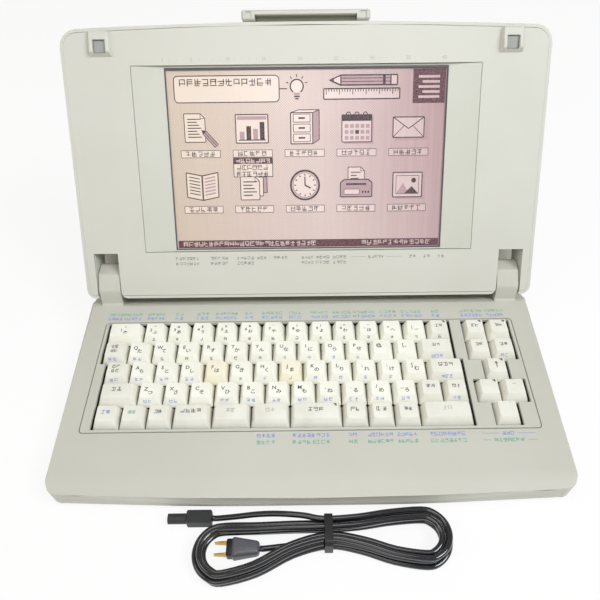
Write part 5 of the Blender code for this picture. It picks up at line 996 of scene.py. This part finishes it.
class Picture:
    """Draws one picture of the display in its own corner, in millimetres."""

    def __init__(self, **prints):
        self.prints = prints
        self.at(0, 0)

    def at(self, x, y):
        self.x = x
        self.y = y
        self.layer = 0
        return self

    def level(self):
        self.layer += 1
        return PANEL_TOP + LAID * self.layer

    def point(self, x, y):
        return self.x + x / 1000, self.y + y / 1000

    def fill(self, colour, *corners):
        self.prints[colour].shape_of([self.point(*corner) for corner in corners], self.level())

    def block(self, colour, x, y, across, up):
        self.fill(colour, (x, y), (x + across, y), (x + across, y + up), (x, y + up))

    def rule(self, colour, x, y, end_x, end_y, width=0.6):
        self.prints[colour].line(self.point(x, y), self.point(end_x, end_y), width / 1000, self.level())

    def rays(self, x, y, first, last, angles, width):
        """Inked lines round a point, from one distance to another."""
        for angle in angles:
            self.rule("ink", *around(angle, first, x, y), *around(angle, last, x, y), width)

    def bow(self, colour, x, y, radius, width=0.6, start=0, end=360):
        self.prints[colour].arc(self.point(x, y), radius / 1000, width / 1000, self.level(), start, end)

    def card(self, *corners, line=0.6, colour="paper"):
        """A filled field with an inked outline."""
        self.fill(colour, *corners)
        level = self.level()
        for here, there in zip(corners, corners[1:] + corners[:1]):
            self.prints["ink"].line(self.point(*here), self.point(*there), line / 1000, level)

    def frame(self, x, y, across, up, line=0.6, colour="paper"):
        """A card with square corners."""
        self.card((x, y), (x + across, y), (x + across, y + up), (x, y + up), line=line, colour=colour)

    def sheet(self, x, y, across, up, fold=3.5, colour="paper"):
        """A page with its far corner folded."""
        right, top = x + across, y + up
        self.card((x, y), (right, y), (right, top - fold), (right - fold, top), (x, top), colour=colour)
        self.rule("ink", right - fold, top, right - fold, top - fold, 0.4)
        self.rule("ink", right - fold, top - fold, right, top - fold, 0.4)

    def lines(self, x, y, across, count, pitch, width=0.7):
        """Lines of writing with a ragged right side."""
        for index in range(count):
            end = x + across - 1.6 * (index * 2 % 3)
            self.rule("ink", x, y - index * pitch, end, y - index * pitch, width)


# The pictures, each drawn from its lower left corner and about 27 millimetres wide


def page_and_pen(draw):
    draw.sheet(2, 3, 16, 21)
    draw.lines(4.5, 20, 10.5, 7, 2.2)
    draw.card((16, 9), (25, -1), (27.6, 1.2), (18.6, 11.2), colour="tone", line=0.5)
    draw.fill("ink", (15, 12.2), (16, 9), (18.6, 11.2))
    draw.rule("ink", 17.6, 9.8, 26, 0.6, 0.4)


def bar_chart(draw):
    draw.frame(1, 2, 25, 21, 0.8)
    draw.block("tone", 2.2, 19.2, 22.6, 2.6)
    for index, tall in enumerate((6, 10, 8, 13)):
        draw.block("ink" if index % 2 else "tone", 4 + index * 5.2, 4.5, 3.6, tall)
    draw.rule("ink", 3, 4.2, 24, 4.2, 0.8)


def file_drawers(draw):
    draw.frame(3, 1, 17, 23, 0.8)
    draw.card((20, 1), (25, 4), (25, 26), (20, 24), colour="tone")
    draw.card((3, 24), (20, 24), (25, 26), (9, 26))
    for row in range(3):
        y = 2.5 + row * 7.3
        draw.frame(5, y, 13, 5.8, 0.5)
        draw.block("ink", 9, y + 2.3, 5, 1.3)


def month_page(draw):
    draw.block("tone", 3.4, 0.6, 23, 20)
    draw.frame(2, 2, 23, 20, 0.7)
    draw.block("ink", 2, 17.5, 23, 4.5)
    for x in (7, 13.5, 20):
        draw.bow("ink", x, 22.5, 1.5, 0.7)
    for row in range(3):
        for column in range(5):
            colour = "ink" if (row, column) == (1, 2) else "tone"
            draw.block(colour, 4.2 + column * 4.1, 3.6 + row * 4.4, 2.8, 2.8)


def sheet_pile(draw):
    draw.sheet(9, 7, 15, 18, colour="tone")
    draw.sheet(6, 4.5, 15, 18)
    draw.sheet(3, 1.5, 15, 18)
    draw.lines(5.2, 15.5, 10.5, 5, 2.6, 0.8)


def envelope(draw):
    draw.block("tone", 3, 3, 25, 15.5)
    draw.frame(1, 5, 24, 15, 0.8)
    for x in (1, 25):
        draw.rule("ink", x, 20, 13, 11.5, 0.7)
    for x, inner in ((1, 9.5), (25, 16.5)):
        draw.rule("ink", x, 5, inner, 13.6, 0.5)


def open_book(draw):
    draw.card((1, 4), (13.5, 1.5), (13.5, 20.5), (1, 23), line=0.8)
    draw.card((13.5, 1.5), (26, 4), (26, 23), (13.5, 20.5), line=0.8)
    for index in range(6):
        y = 19.4 - index * 2.5
        draw.rule("ink", 3.2, y + 0.4, 11.6, y - 1.3, 0.7)
        draw.rule("tone", 15.4, y - 1.3, 23.8, y + 0.4, 1.1)
    draw.rule("ink", 13.5, 1.2, 13.5, 20.8, 1.1)


def wall_clock(draw):
    for radius in (9.2, 6.6, 4, 1.6):
        draw.bow("paper", 13.5, 12.5, radius, 2.8)
    draw.bow("ink", 13.5, 12.5, 11.2, 1.5)
    draw.bow("tone", 13.5, 12.5, 9.6, 0.9)
    draw.rays(13.5, 12.5, 8.6, 7.2, range(0, 360, 30), 0.8)
    draw.rule("ink", 13.5, 12.5, 13.5, 19, 0.9)
    draw.rule("ink", 13.5, 12.5, 18, 10.2, 1.1)


def paper_printer(draw):
    draw.sheet(7, 12, 13, 14, 3)
    draw.lines(9, 22, 8, 3, 2.4)
    draw.card((1, 3), (26, 3), (26, 14), (23, 16.5), (4, 16.5), (1, 14), line=0.8, colour="tone")
    draw.block("ink", 5.5, 12.2, 16, 1.4)
    draw.frame(4, 5, 12, 4, 0.4)
    for index in range(3):
        draw.block("ink", 18.2 + index * 2.2, 6, 1.2, 1.6)


def picture_card(draw):
    draw.block("tone", 3.6, 1, 23, 19)
    draw.frame(2, 2.5, 23, 19, 0.8)
    draw.frame(4.5, 5, 18, 14, 0.4)
    draw.fill("tone", (4.8, 5.3), (15, 5.3), (10, 13.5))
    draw.fill("ink", (11, 5.3), (22.2, 5.3), (17, 10.8))
    for radius in (0.5, 1.4):
        draw.bow("ink", 18.4, 15.4, radius, 1.0)


def ruler_and_pencil(draw):
    """The screen's heading picture: a broad pencil over a ruler."""
    draw.frame(0, 0, 58, 7.5, 0.9)
    for step in range(28):
        tall = 4.2 if step % 5 == 0 else 2.2
        draw.block("ink", 1.6 + step * 2.03, 7.5 - tall, 0.55, tall)
    draw.frame(13, 10, 38, 7, 0.9, "tone")
    for y in (12.2, 14.6):
        draw.block("ink", 13, y, 38, 0.5)
    draw.card((5, 13.5), (13, 10), (13, 17), line=0.9)
    draw.fill("ink", (4, 13.5), (7.8, 11.6), (7.8, 15.4))
    draw.block("ink", 45, 10, 2, 7)
    draw.frame(51, 10, 5, 7, 0.9)


def lamp_sign(draw):
    """A lit lamp beside the message field."""
    for radius in (1.2, 3.4):
        draw.bow("paper", 6.5, 12, radius, 2.4)
    draw.bow("ink", 6.5, 12, 4.9, 1.0, -55, 235)
    draw.block("ink", 4.4, 4.2, 4.2, 1.1)
    draw.block("tone", 4.4, 5.8, 4.2, 1.6)
    draw.block("ink", 5.2, 2.6, 2.6, 1.0)
    draw.rays(6.5, 12, 6.6, 8.6, range(20, 161, 35), 0.7)


PICTURES = (
    page_and_pen, bar_chart, file_drawers, month_page, envelope,
    open_book, sheet_pile, wall_clock, paper_printer, picture_card,
)

# The screen's image: its left, right, low and high sides, and its first level over the paper
SCREEN = (
    -WINDOW_X + 0.0018, WINDOW_X - 0.0018, DISPLAY_Y - WINDOW_Y + 0.0013, DISPLAY_Y + WINDOW_Y - 0.0022
)
OVER = 0.00005

# Its pictures: the first one's place from the left and the high side, and how far the rows stand apart
PICTURE_X = 0.0075
PICTURE_Y = 0.0545
PICTURE_DOWN = 0.0430
PICTURE_ACROSS = (SCREEN[1] - SCREEN[0] - 0.008) / 5

# Ends of a picture's plate across and up, from the picture's place, and the message field's rounding
PLATE_X = (-0.0008, 0.0302)
PLATE_Y = (-0.0088, -0.0030)
FIELD_TURN = 0.003


def draw_head(ink, paper, bar, draw):
    """The head row: the message field with its lamp, the ruler and the dark block of text."""
    left, right, _, high = SCREEN
    over = PANEL_TOP + OVER
    bar.bar(right - 0.0245, high - 0.0245, right, high, PANEL_TOP)
    for line in range(5):
        x, y = right - 0.0203 + 0.0030 * (line % 2), high - 0.0064 - line * 0.0036
        paper.bar(x, y, right - 0.0042, y + 0.0018, over)
    ruler_and_pencil(draw.at(right - 0.0925, high - 0.0210))
    box_left = left + 0.0045
    box_right = box_left + 0.0800
    turn_x = (box_left + FIELD_TURN, box_right - FIELD_TURN)
    turn_y = (high - 0.0195, high - 0.0065)
    corners = []
    for index, (x, y) in enumerate(((1, 0), (1, 1), (0, 1), (0, 0))):
        for step in range(5):
            corners.append(around(90 * index - 90 + step * 22.5, FIELD_TURN, turn_x[x], turn_y[y]))
    paper.shape_of(corners, PANEL_TOP)
    for here, there in zip(corners, corners[1:] + corners[:1]):
        ink.line(here, there, 0.0007, over)
    ink.bar(box_right, high - 0.0135, box_right + 0.0060, high - 0.0128, over)
    ink.word(box_left + 0.004, box_right - 0.005, high - 0.0107, 0.0050, over)
    lamp_sign(draw.at(box_right + 0.0070, high - 0.0235))


def draw_list(ink, paper, bar):
    """The list that hangs down from the second picture's plate."""
    left, _, _, high = SCREEN
    x = left + PICTURE_X + PICTURE_ACROSS
    y = high - PICTURE_Y + PLATE_Y[0]
    low_x, high_x = (x + end for end in PLATE_X)
    level = PANEL_TOP + 0.0002
    paper.bar(low_x, y - 0.0150, high_x, y - 0.0002, level)
    ink.outline(low_x, y - 0.0150, high_x, y - 0.0002, 0.0005, level + OVER)
    bar.bar(low_x, y - 0.0050, high_x, y - 0.0002, level + OVER)
    paper.word(x + 0.0015, x + 0.0285, y - 0.0044, 0.0036, level + 2 * OVER)
    for line in range(2):
        ink.word(x + 0.0015, x + 0.0265, y - 0.0096 - line * 0.0050, 0.0038, level + OVER)


def build_display_image():
    """A generic menu screen: a head row, ten plain pictures with plates, and a status bar."""
    ink, paper, tone, bar = (Print() for _ in range(4))
    draw = Picture(ink=ink, tone=tone, paper=paper)
    left, right, low, high = SCREEN
    over = PANEL_TOP + OVER
    bar.bar(left, low, right, low + 0.0060, PANEL_TOP)
    for start, end in ((left + 0.004, left + 0.112), (right - 0.062, right - 0.006)):
        paper.word(start, end, low + 0.0012, 0.0037, over)
    draw_head(ink, paper, bar, draw)
    for index, picture in enumerate(PICTURES):
        row, column = divmod(index, 5)
        x = left + PICTURE_X + column * PICTURE_ACROSS
        y = high - PICTURE_Y - row * PICTURE_DOWN
        picture(draw.at(x + 0.0012, y))
        plate = (x + PLATE_X[0], y + PLATE_Y[0], x + PLATE_X[1], y + PLATE_Y[1])
        paper.bar(*plate, PANEL_TOP)
        ink.outline(*plate, 0.0004, over)
        ink.word(x + 0.0030, x + 0.0264, y - 0.0078, 0.0038, over)
    draw_list(ink, paper, bar)
    ink.piece("display_picture_lines", DISPLAY_INK, "lid", "display_glass", LID)
    tone.piece("display_picture_tones", DISPLAY_TONE, "lid", "display_glass", LID)
    paper.piece("display_picture_fields", DISPLAY_PAPER, "lid", "display_glass", LID)
    bar.piece("display_picture_bars", DISPLAY_BAR, "lid", "display_glass", LID)


def build_display():
    """The display panel, its image and the dark gasket round its window, whose wider top band is painted shadow
    of the recess.
    """
    low = (-PANEL_X, DISPLAY_Y - PANEL_Y, PANEL_LOW)
    panel = box("display_panel_glass", low, (PANEL_X, DISPLAY_Y + PANEL_Y, PANEL_TOP))
    with picked(panel, facing(2)):
        bpy.ops.mesh.inset(thickness=0.0045)
        bpy.ops.mesh.inset(thickness=0.0005)
    soften(panel, 0.0003)
    fit(panel, DISPLAY, "lid", "display_glass", "display_panel", place=LID)
    build_display_image()
    across = WINDOW_X + 0.0001
    up = WINDOW_Y + 0.0001
    trim = box(
        "window_gasket_painted_shade",
        (-across, DISPLAY_Y - up, PANEL_TOP + 0.00002),
        (across, DISPLAY_Y + up, BEZEL_LOW_TOP - 0.0001),
    )
    with picked(trim, lambda face: abs(face.normal.z) > 0.9):
        bpy.ops.mesh.inset(thickness=0.0010)
        bpy.ops.mesh.bridge_edge_loops()
    inner_high = DISPLAY_Y + WINDOW_Y - 0.0015
    # The top band is widened downwards: painted shadow of the recess's upper wall
    with picked(trim, lambda face: face.normal.y < -0.9 and face.calc_center_median().y > inner_high):
        bpy.ops.transform.translate(value=(0, -0.0008, 0))
    soften(trim, 0.0002)
    fit(trim, GASKET_AND_PAINTED_SHADE, "lid", "dark_plastic", place=LID)


# Cord


# The cord's diameter, its gap over the floor and the hank's folds and waist
CORD_D = 0.004
LIFT = 0.0002
LEFT_FOLD = Vector((-0.0575, -0.199))
RIGHT_FOLD = Vector((0.0725, -0.190))
WAIST = Vector((0.0106, -0.187))
LEFT_R = 0.0185
RIGHT_R = 0.0175
WAIST_HALF = 0.0077

# How far its lanes and its layers stand apart, their count, and the turns of a climb between layers
LANE = 0.00525
LAYER = 0.0047
LAYERS = 3
LOOPS = 4.5
CLIMB = 0.5
LOOP_POINTS = 24

# The tie, where the cord leaves the plug and the connector, and its way to the connector
TIE_THICK = 0.0009
TIE_FIT = 0.0004
PLUG_BACK = (-0.034, -0.1955)
PLUG_HIGH = 0.0105
CONNECTOR_BACK = (-0.067, -0.1745)
CONNECTOR_HIGH = 0.009
TAIL = (
    (-0.006, -0.1768, 0.0128),
    (-0.022, -0.1752, 0.0122),
    (-0.036, -0.1745, 0.0102),
    (-0.049, -0.1745, 0.0073),
)


def hank_side(x, way):
    """A long side of the hank, the front (-1) or the back (1), and how close it is to the waist."""
    fold, radius = (RIGHT_FOLD, RIGHT_R) if x > WAIST.x else (LEFT_FOLD, LEFT_R)
    away = (1 - math.cos(math.pi * clamped((x - WAIST.x) / (fold.x - WAIST.x)))) / 2
    middle = WAIST.y + (fold.y - WAIST.y) * away
    return Vector((x, middle + way * (WAIST_HALF + (radius - WAIST_HALF) * away))), 1 - away


def hank_fold(fold, radius, turns):
    """A point of a fold, turned by a number of half turns from the right."""
    angle = math.pi * turns
    return fold + Vector((math.cos(angle), math.sin(angle))) * radius, 0


def hank_outline(turn):
    """The outermost loop from the waist's front side, and how close it is to the waist."""
    share = turn % 1 * 4
    if share < 0.5:
        return hank_side(WAIST.x + (RIGHT_FOLD.x - WAIST.x) * share * 2, -1)
    if share < 1.5:
        return hank_fold(RIGHT_FOLD, RIGHT_R, share - 1)
    if share < 2.5:
        return hank_side(RIGHT_FOLD.x + (LEFT_FOLD.x - RIGHT_FOLD.x) * (share - 1.5), 1)
    if share < 3.5:
        return hank_fold(LEFT_FOLD, LEFT_R, share - 2)
    return hank_side(LEFT_FOLD.x + (WAIST.x - LEFT_FOLD.x) * (share - 3.5) * 2, -1)


def hank_lane(turn):
    """The lane and the layer of a turn: each layer winds back the other way, after a climb."""
    spiral = (LOOPS - (LAYERS - 1) * CLIMB) / LAYERS
    lane = spiral
    left = max(turn, 0)
    for layer in range(LAYERS):
        part = min(left, spiral)
        lane += part * (1 if layer % 2 else -1)
        left -= part
        climb = min(left, CLIMB)
        left -= climb
        if climb < CLIMB and layer < LAYERS - 1:
            return lane, layer + climb / CLIMB
    return lane, LAYERS - 1


def hank_point(turn):
    """The cord's middle at a turn of the hank."""
    lane, layer = hank_lane(turn)
    step = 1 / (LOOP_POINTS * LOOP_POINTS)
    here, close = hank_outline(turn)
    along = (hank_outline(turn + step)[0] - hank_outline(turn - step)[0]).normalized()
    place = here + Vector((-along.y, along.x)) * lane * LANE
    rise = LIFT + CORD_D / 2 + (TIE_THICK + TIE_FIT) * close
    return Vector((place.x, place.y, rise + layer * LAYER))


def cord_points():
    """The cord's way from the plug through the hank to the connector."""
    plug = Vector((*PLUG_BACK, PLUG_HIGH / 2 + LIFT))
    back = Vector((*CONNECTOR_BACK, CONNECTOR_HIGH / 2 + LIFT))
    straight = Vector((CORD_D, 0, 0))
    nudge = Vector((0.0003, 0, 0))
    points = [plug + nudge, plug + nudge + straight, hank_point(-0.03)]
    points += [hank_point(index / LOOP_POINTS) for index in range(round(LOOPS * LOOP_POINTS) + 1)]
    points += [Vector(point) for point in TAIL]
    return points + [back + nudge + straight, back + nudge]


def through(points, steps=4):
    """A smooth line through the points."""
    line = []
    padded = [points[0], *points, points[-1]]
    for before, here, there, after in zip(padded, padded[1:], padded[2:], padded[3:]):
        for step in range(steps):
            t = step / steps
            bend = (there - before) * t
            bend += (2 * before - 5 * here + 4 * there - after) * t * t
            bend += (3 * here - before - 3 * there + after) * t * t * t
            line.append(here + bend / 2)
    return line + [points[-1]]


def build_cord():
    """The cord's smooth sheath, its tie, its plug and its connector."""
    points = through(cord_points())
    length = sum((b - a).length for a, b in zip(points, points[1:]))
    curve = bpy.data.curves.new("mains_cord_sheath", "CURVE")
    curve.dimensions = "3D"
    curve.bevel_depth = CORD_D / 2
    curve.bevel_resolution = 5
    curve.use_fill_caps = True
    spline = curve.splines.new("POLY")
    spline.points.add(len(points) - 1)
    for point, place in zip(spline.points, reversed(points)):
        point.co = (*place, 1)
    run = added("mains_cord_sheath", curve)
    curve.materials.append(SHEATH.material)
    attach(run, "base")
    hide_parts("mains_cord")
    tie = dressed("cord_tie", "cord_tie_band", BLACK, "base", "dark_plastic", 0.0003)
    plug = build_plug()
    connector = dressed("cord_connector", "connector_body", DARK, "base", "dark_plastic", segments=3)


def build_plug():
    """The plug: a soft grey body that narrows to the cord, a dark collar and two brass blades."""
    back, middle = PLUG_BACK
    half = 0.00675
    front = back - 0.018
    axis = LIFT + PLUG_HIGH / 2
    body = box("plug_body", (front, middle - half, LIFT), (back, middle + half, LIFT + PLUG_HIGH))
    with picked(body, facing(0)):
        bpy.ops.transform.resize(value=(1, 0.62, 0.7), center_override=(back, middle, axis))
    soften(body, 0.0022, 5)
    fit(body, PLUG_GREY, "base", "grey_plastic", "cord_plug")
    inset = 0.0012
    collar = box(
        "plug_collar",
        (front - 0.0035, middle - half + inset, LIFT + inset),
        (front + 0.0015, middle + half - inset, LIFT + PLUG_HIGH - inset),
    )
    soften(collar, 0.0012, 4)
    fit(collar, BLACK, "base", "dark_plastic")
    blades = []
    for side in (-1, 1):
        y = middle + side * 0.00375
        low = (front - 0.0115, y - 0.00065, axis - 0.00275)
        blade = box("blade", low, (front - 0.003, y + 0.00065, axis + 0.00275))
        with picked(blade, facing(0, -1)):
            bpy.ops.transform.resize(value=(1, 0.5, 0.7))
        blades.append(soften(blade, 0.0003))
    pins = fit(joined("plug_blades", blades), BRASS, "base", "steel")
    return [body, collar, pins]


# Case, lid and the machine's other parts


def drawn_to_nose(piece):
    """Rounds the shell's front corners, draws its sides in and bows its front crease out."""
    def on_corner(edge):
        first, second = (vert.co for vert in edge.verts)
        inside = all(abs(p.x) > CORNER[0] - 0.0005 and p.y < CORNER[1] + 0.0005 for p in (first, second))
        run = (second - first).length
        return inside and run > 0.003 and abs(second.z - first.z) < run * 0.3

    level = DECK.inverted()
    with picked(piece, on_corner, "EDGE"):
        bpy.ops.mesh.subdivide(number_cuts=3)
    for vert in piece.data.vertices:
        across = abs(vert.co.x) - CORNER[0]
        ahead = CORNER[1] - vert.co.y
        if across > 0 and ahead > 0:
            side = across / CORNER_REACH[0]
            nose = ahead / CORNER_REACH[1]
            reach = math.hypot(side, nose)
            grow = ((side / reach) ** FULLNESS + (nose / reach) ** FULLNESS) ** (-1 / FULLNESS)
            vert.co.x = math.copysign(CORNER[0] + across * grow, vert.co.x)
            vert.co.y = CORNER[1] - ahead * grow
        x, y, _ = vert.co
        near = clamped((EASE_FROM - y) / (EASE_FROM - EASE_TO))
        edge = clamped((abs(x) - FLANK_FROM) / (HALF_WIDE - FLANK_FROM))
        vert.co.x = x - math.copysign(SIDE_DRAW * near * near * edge, x)
        front = clamped((NOSE_FROM - y) / (NOSE_FROM - NOSE_TO))
        vert.co.y = y + NOSE_DRAW * (abs(x) / HALF_WIDE) ** 2 * front
        spot = level @ vert.co
        if spot.y < CREASE_Y and spot.z > CREASE_Z and abs(x) < CREASE_X:
            out = CREASE_OUT * (1 - (x / CREASE_HALF) ** 2)
            vert.co += DECK.to_3x3() @ Vector((0, -out, -out * CREASE_FALL))


def build_handle():
    """The handle a touch further out of the lid, and a darker lining in its channel that paints the channel's
    shade.
    """
    handle = dressed("carrying_handle", "lid_handle", LID_GREY, "handle", "lid_plastic", segments=3)
    level = LID.inverted()
    out = LID.to_3x3() @ Vector((0, HANDLE_OUT, 0))
    for vert in handle.data.vertices:
        if (level @ vert.co).y > HANDLE_LOW - 0.0005:
            vert.co += out
    # A darker lining inside the channel, as painted shade
    low = HANDLE_LOW + HANDLE_OUT + 0.0001
    lining = box("channel_painted_shade_lining", (-0.0379, low, -0.0065), (0.0379, low + 0.0039, -0.0059))
    with picked(lining, facing(2)):
        bpy.ops.mesh.inset(thickness=0.0006)
    with picked(lining, lambda face: face.normal.z > 0.9 and face.calc_center_median().y > low + 0.0035):
        extrude(0.0098)
    fit(lining, CHANNEL_PAINTED_SHADE, "handle", "lid_plastic", place=LID)


def level_rim(piece):
    """Brings the lid's rim down to the level of its face."""
    flat = LID.inverted()
    down = LID.to_3x3() @ Vector((0, 0, RIM_TOP - FACE - 0.0001))
    for vert in piece.data.vertices:
        if (flat @ vert.co).z > RIM_TOP - 0.0003:
            vert.co -= down


def round_blocks(piece):
    """Closes the face's sides to the rim and rounds the edges of its two rest blocks."""
    flat = LID.inverted()
    for vert in piece.data.vertices:
        if abs(vert.co.x) > 0.168:
            vert.co.x += math.copysign(0.00025, vert.co.x)

    def on_block(edge):
        ends = [flat @ vert.co for vert in edge.verts]
        sharp = len(edge.link_faces) == 2 and edge.calc_face_angle(0) > math.radians(SHARP)
        return sharp and max(end.z for end in ends) > FACE + 0.003 and min(end.y for end in ends) > 0.16

    with picked(piece, on_block, "EDGE"):
        bpy.ops.mesh.bevel(offset=0.0009, segments=4)


def build_shells():
    """The shells, the lid, the handle and the printer's cover."""
    dressed("base_top_shell", "case_top", CASE, "base", "case_plastic", prepare=drawn_to_nose)
    dressed("base_bottom_shell", "case_bottom", CASE, "base", "case_plastic", prepare=drawn_to_nose)
    dressed("lid_back_cover", "lid_back", LID_GREY, "lid", "lid_plastic", 0.0005, prepare=level_rim)
    dressed("lid_front_frame", "lid_face", LID_GREY, "lid", "lid_plastic", 0.00015, prepare=round_blocks)
    dressed("display_bezel", "display_surround", BEZEL_GREY, "lid", "lid_plastic", 0.00025)
    build_handle()
    dressed("printer_cover", "bay_cover", CASE, "cover", "case_plastic", segments=3)
    for side in ("left", "right"):
        dressed("rest_pad_" + side, "pad_" + side, PAD_GREY, "lid", "grey_plastic")


NODE_FINISHES = {
    RUBBER: ("foot_front_left", "foot_front_right", "foot_rear_left", "foot_rear_right", "platen_roller"),
    STEEL: ("printer_chassis", "carriage_rail", "feed_motor", "hinge_pin_left", "hinge_pin_right"),
    BOARD: ("main_board", "power_supply"),
    DARK: ("floppy_drive", "power_inlet", "print_carriage", "platen_knob"),
    BLACK: ("power_switch",),
    PAD_GREY: ("platen_gear", "feed_pinion", "ribbon_cassette", "contrast_dial"),
    CASE: ("floppy_eject_button",),
    WHITE_SHEET: ("backlight",),
}


def finish_nodes():
    """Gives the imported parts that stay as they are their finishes."""
    for finish, nodes in NODE_FINISHES.items():
        for node in nodes:
            slots = NODES[node].data.materials
            slots.clear()
            slots.append(finish.material)


# Floor, light and camera


# Name, place, size, power and colour of each lamp, and the point that they all aim at
LAMPS = (
    ("soft_front", (-0.45, -1.25, 1.25), 1.1, 3.8, (1, 1, 1)),
    ("soft_side", (1.35, -0.8, 1.8), 1.0, 30, (0.88, 0.95, 1)),
    ("soft_left", (-0.9, -0.3, 0.9), 0.6, 1.7, (1, 1, 1)),
    ("soft_near", (0.02, -0.17, 0.42), 0.22, 0.32, (1, 1, 1)),
)
AIM = Vector((0, 0, 0.05))

# The camera that the photo's key corners were fitted with
CAMERA_PLACE = (-0.0019047, -0.347118, 0.3847723)
CAMERA_TURN = (43.17217, 0.40484, -0.54403)


def build_stage():
    """A white floor that the camera sees at an even white, lightly shaded."""
    deselect()
    bpy.ops.mesh.primitive_plane_add(size=6, location=(0, 0, 0))
    floor = bpy.context.object
    floor.name = "table_top"
    paint = Finish("table_white", shade(0xF4F4F2), 0.7)
    rays = ("Is Camera Ray", "Is Glossy Ray", "Is Transmission Ray")
    camera, glossy, clear = (paint.node("ShaderNodeLightPath", output=ray) for ray in rays)
    glow = paint.node("ShaderNodeEmission", {"Strength": 1.0})
    own = Wire(paint, paint.shader.outputs[0])
    lift = paint.node("ShaderNodeMixShader", {0: (camera + glossy + clear) * 0.88, 1: own, 2: glow})
    paint.tree.links.new(lift.socket, paint.tree.nodes["Material Output"].inputs["Surface"])
    floor.data.materials.append(paint.material)


def build_light():
    """Four soft lamps and an even world, which the camera sees as white."""
    world = bpy.data.worlds.new("studio")
    world.use_nodes = True
    nodes = world.node_tree.nodes
    path = nodes.new("ShaderNodeLightPath")
    seen = nodes.new("ShaderNodeMix")
    seen.data_type = "RGBA"
    seen.inputs[6].default_value = (0.40, 0.385, 0.355, 1)
    seen.inputs[7].default_value = (1, 1, 1, 1)
    world.node_tree.links.new(path.outputs["Is Camera Ray"], seen.inputs[0])
    world.node_tree.links.new(seen.outputs[2], nodes["Background"].inputs["Color"])
    bpy.context.scene.world = world
    for name, place, size, power, colour in LAMPS:
        lamp = bpy.data.lights.new(name, "AREA")
        lamp.color = colour
        lamp.shape = "DISK"
        lamp.size = size
        lamp.energy = power
        holder = added(name, lamp)
        holder.location = place
        holder.rotation_euler = (AIM - Vector(place)).to_track_quat("-Z", "Y").to_euler()
    bpy.context.scene.view_settings.view_transform = "Standard"


def build_camera():
    """The camera of the photo's view."""
    lens = bpy.data.cameras.new("photo_view")
    lens.lens = 35.301
    lens.sensor_width = 36
    lens.shift_x = -0.0127
    lens.shift_y = 0.0292
    lens.clip_start = 0.01
    camera = added("photo_view", lens)
    camera.location = CAMERA_PLACE
    camera.rotation_euler = [math.radians(angle) for angle in CAMERA_TURN]
    bpy.context.scene.camera = camera


build_camera()
build_cord()
build_shells()
build_key_plate()
build_keys()
build_deck_print()
build_border_line()
build_lid_print()
build_display()
finish_nodes()
throw_away(UNIT)
build_stage()
build_light()
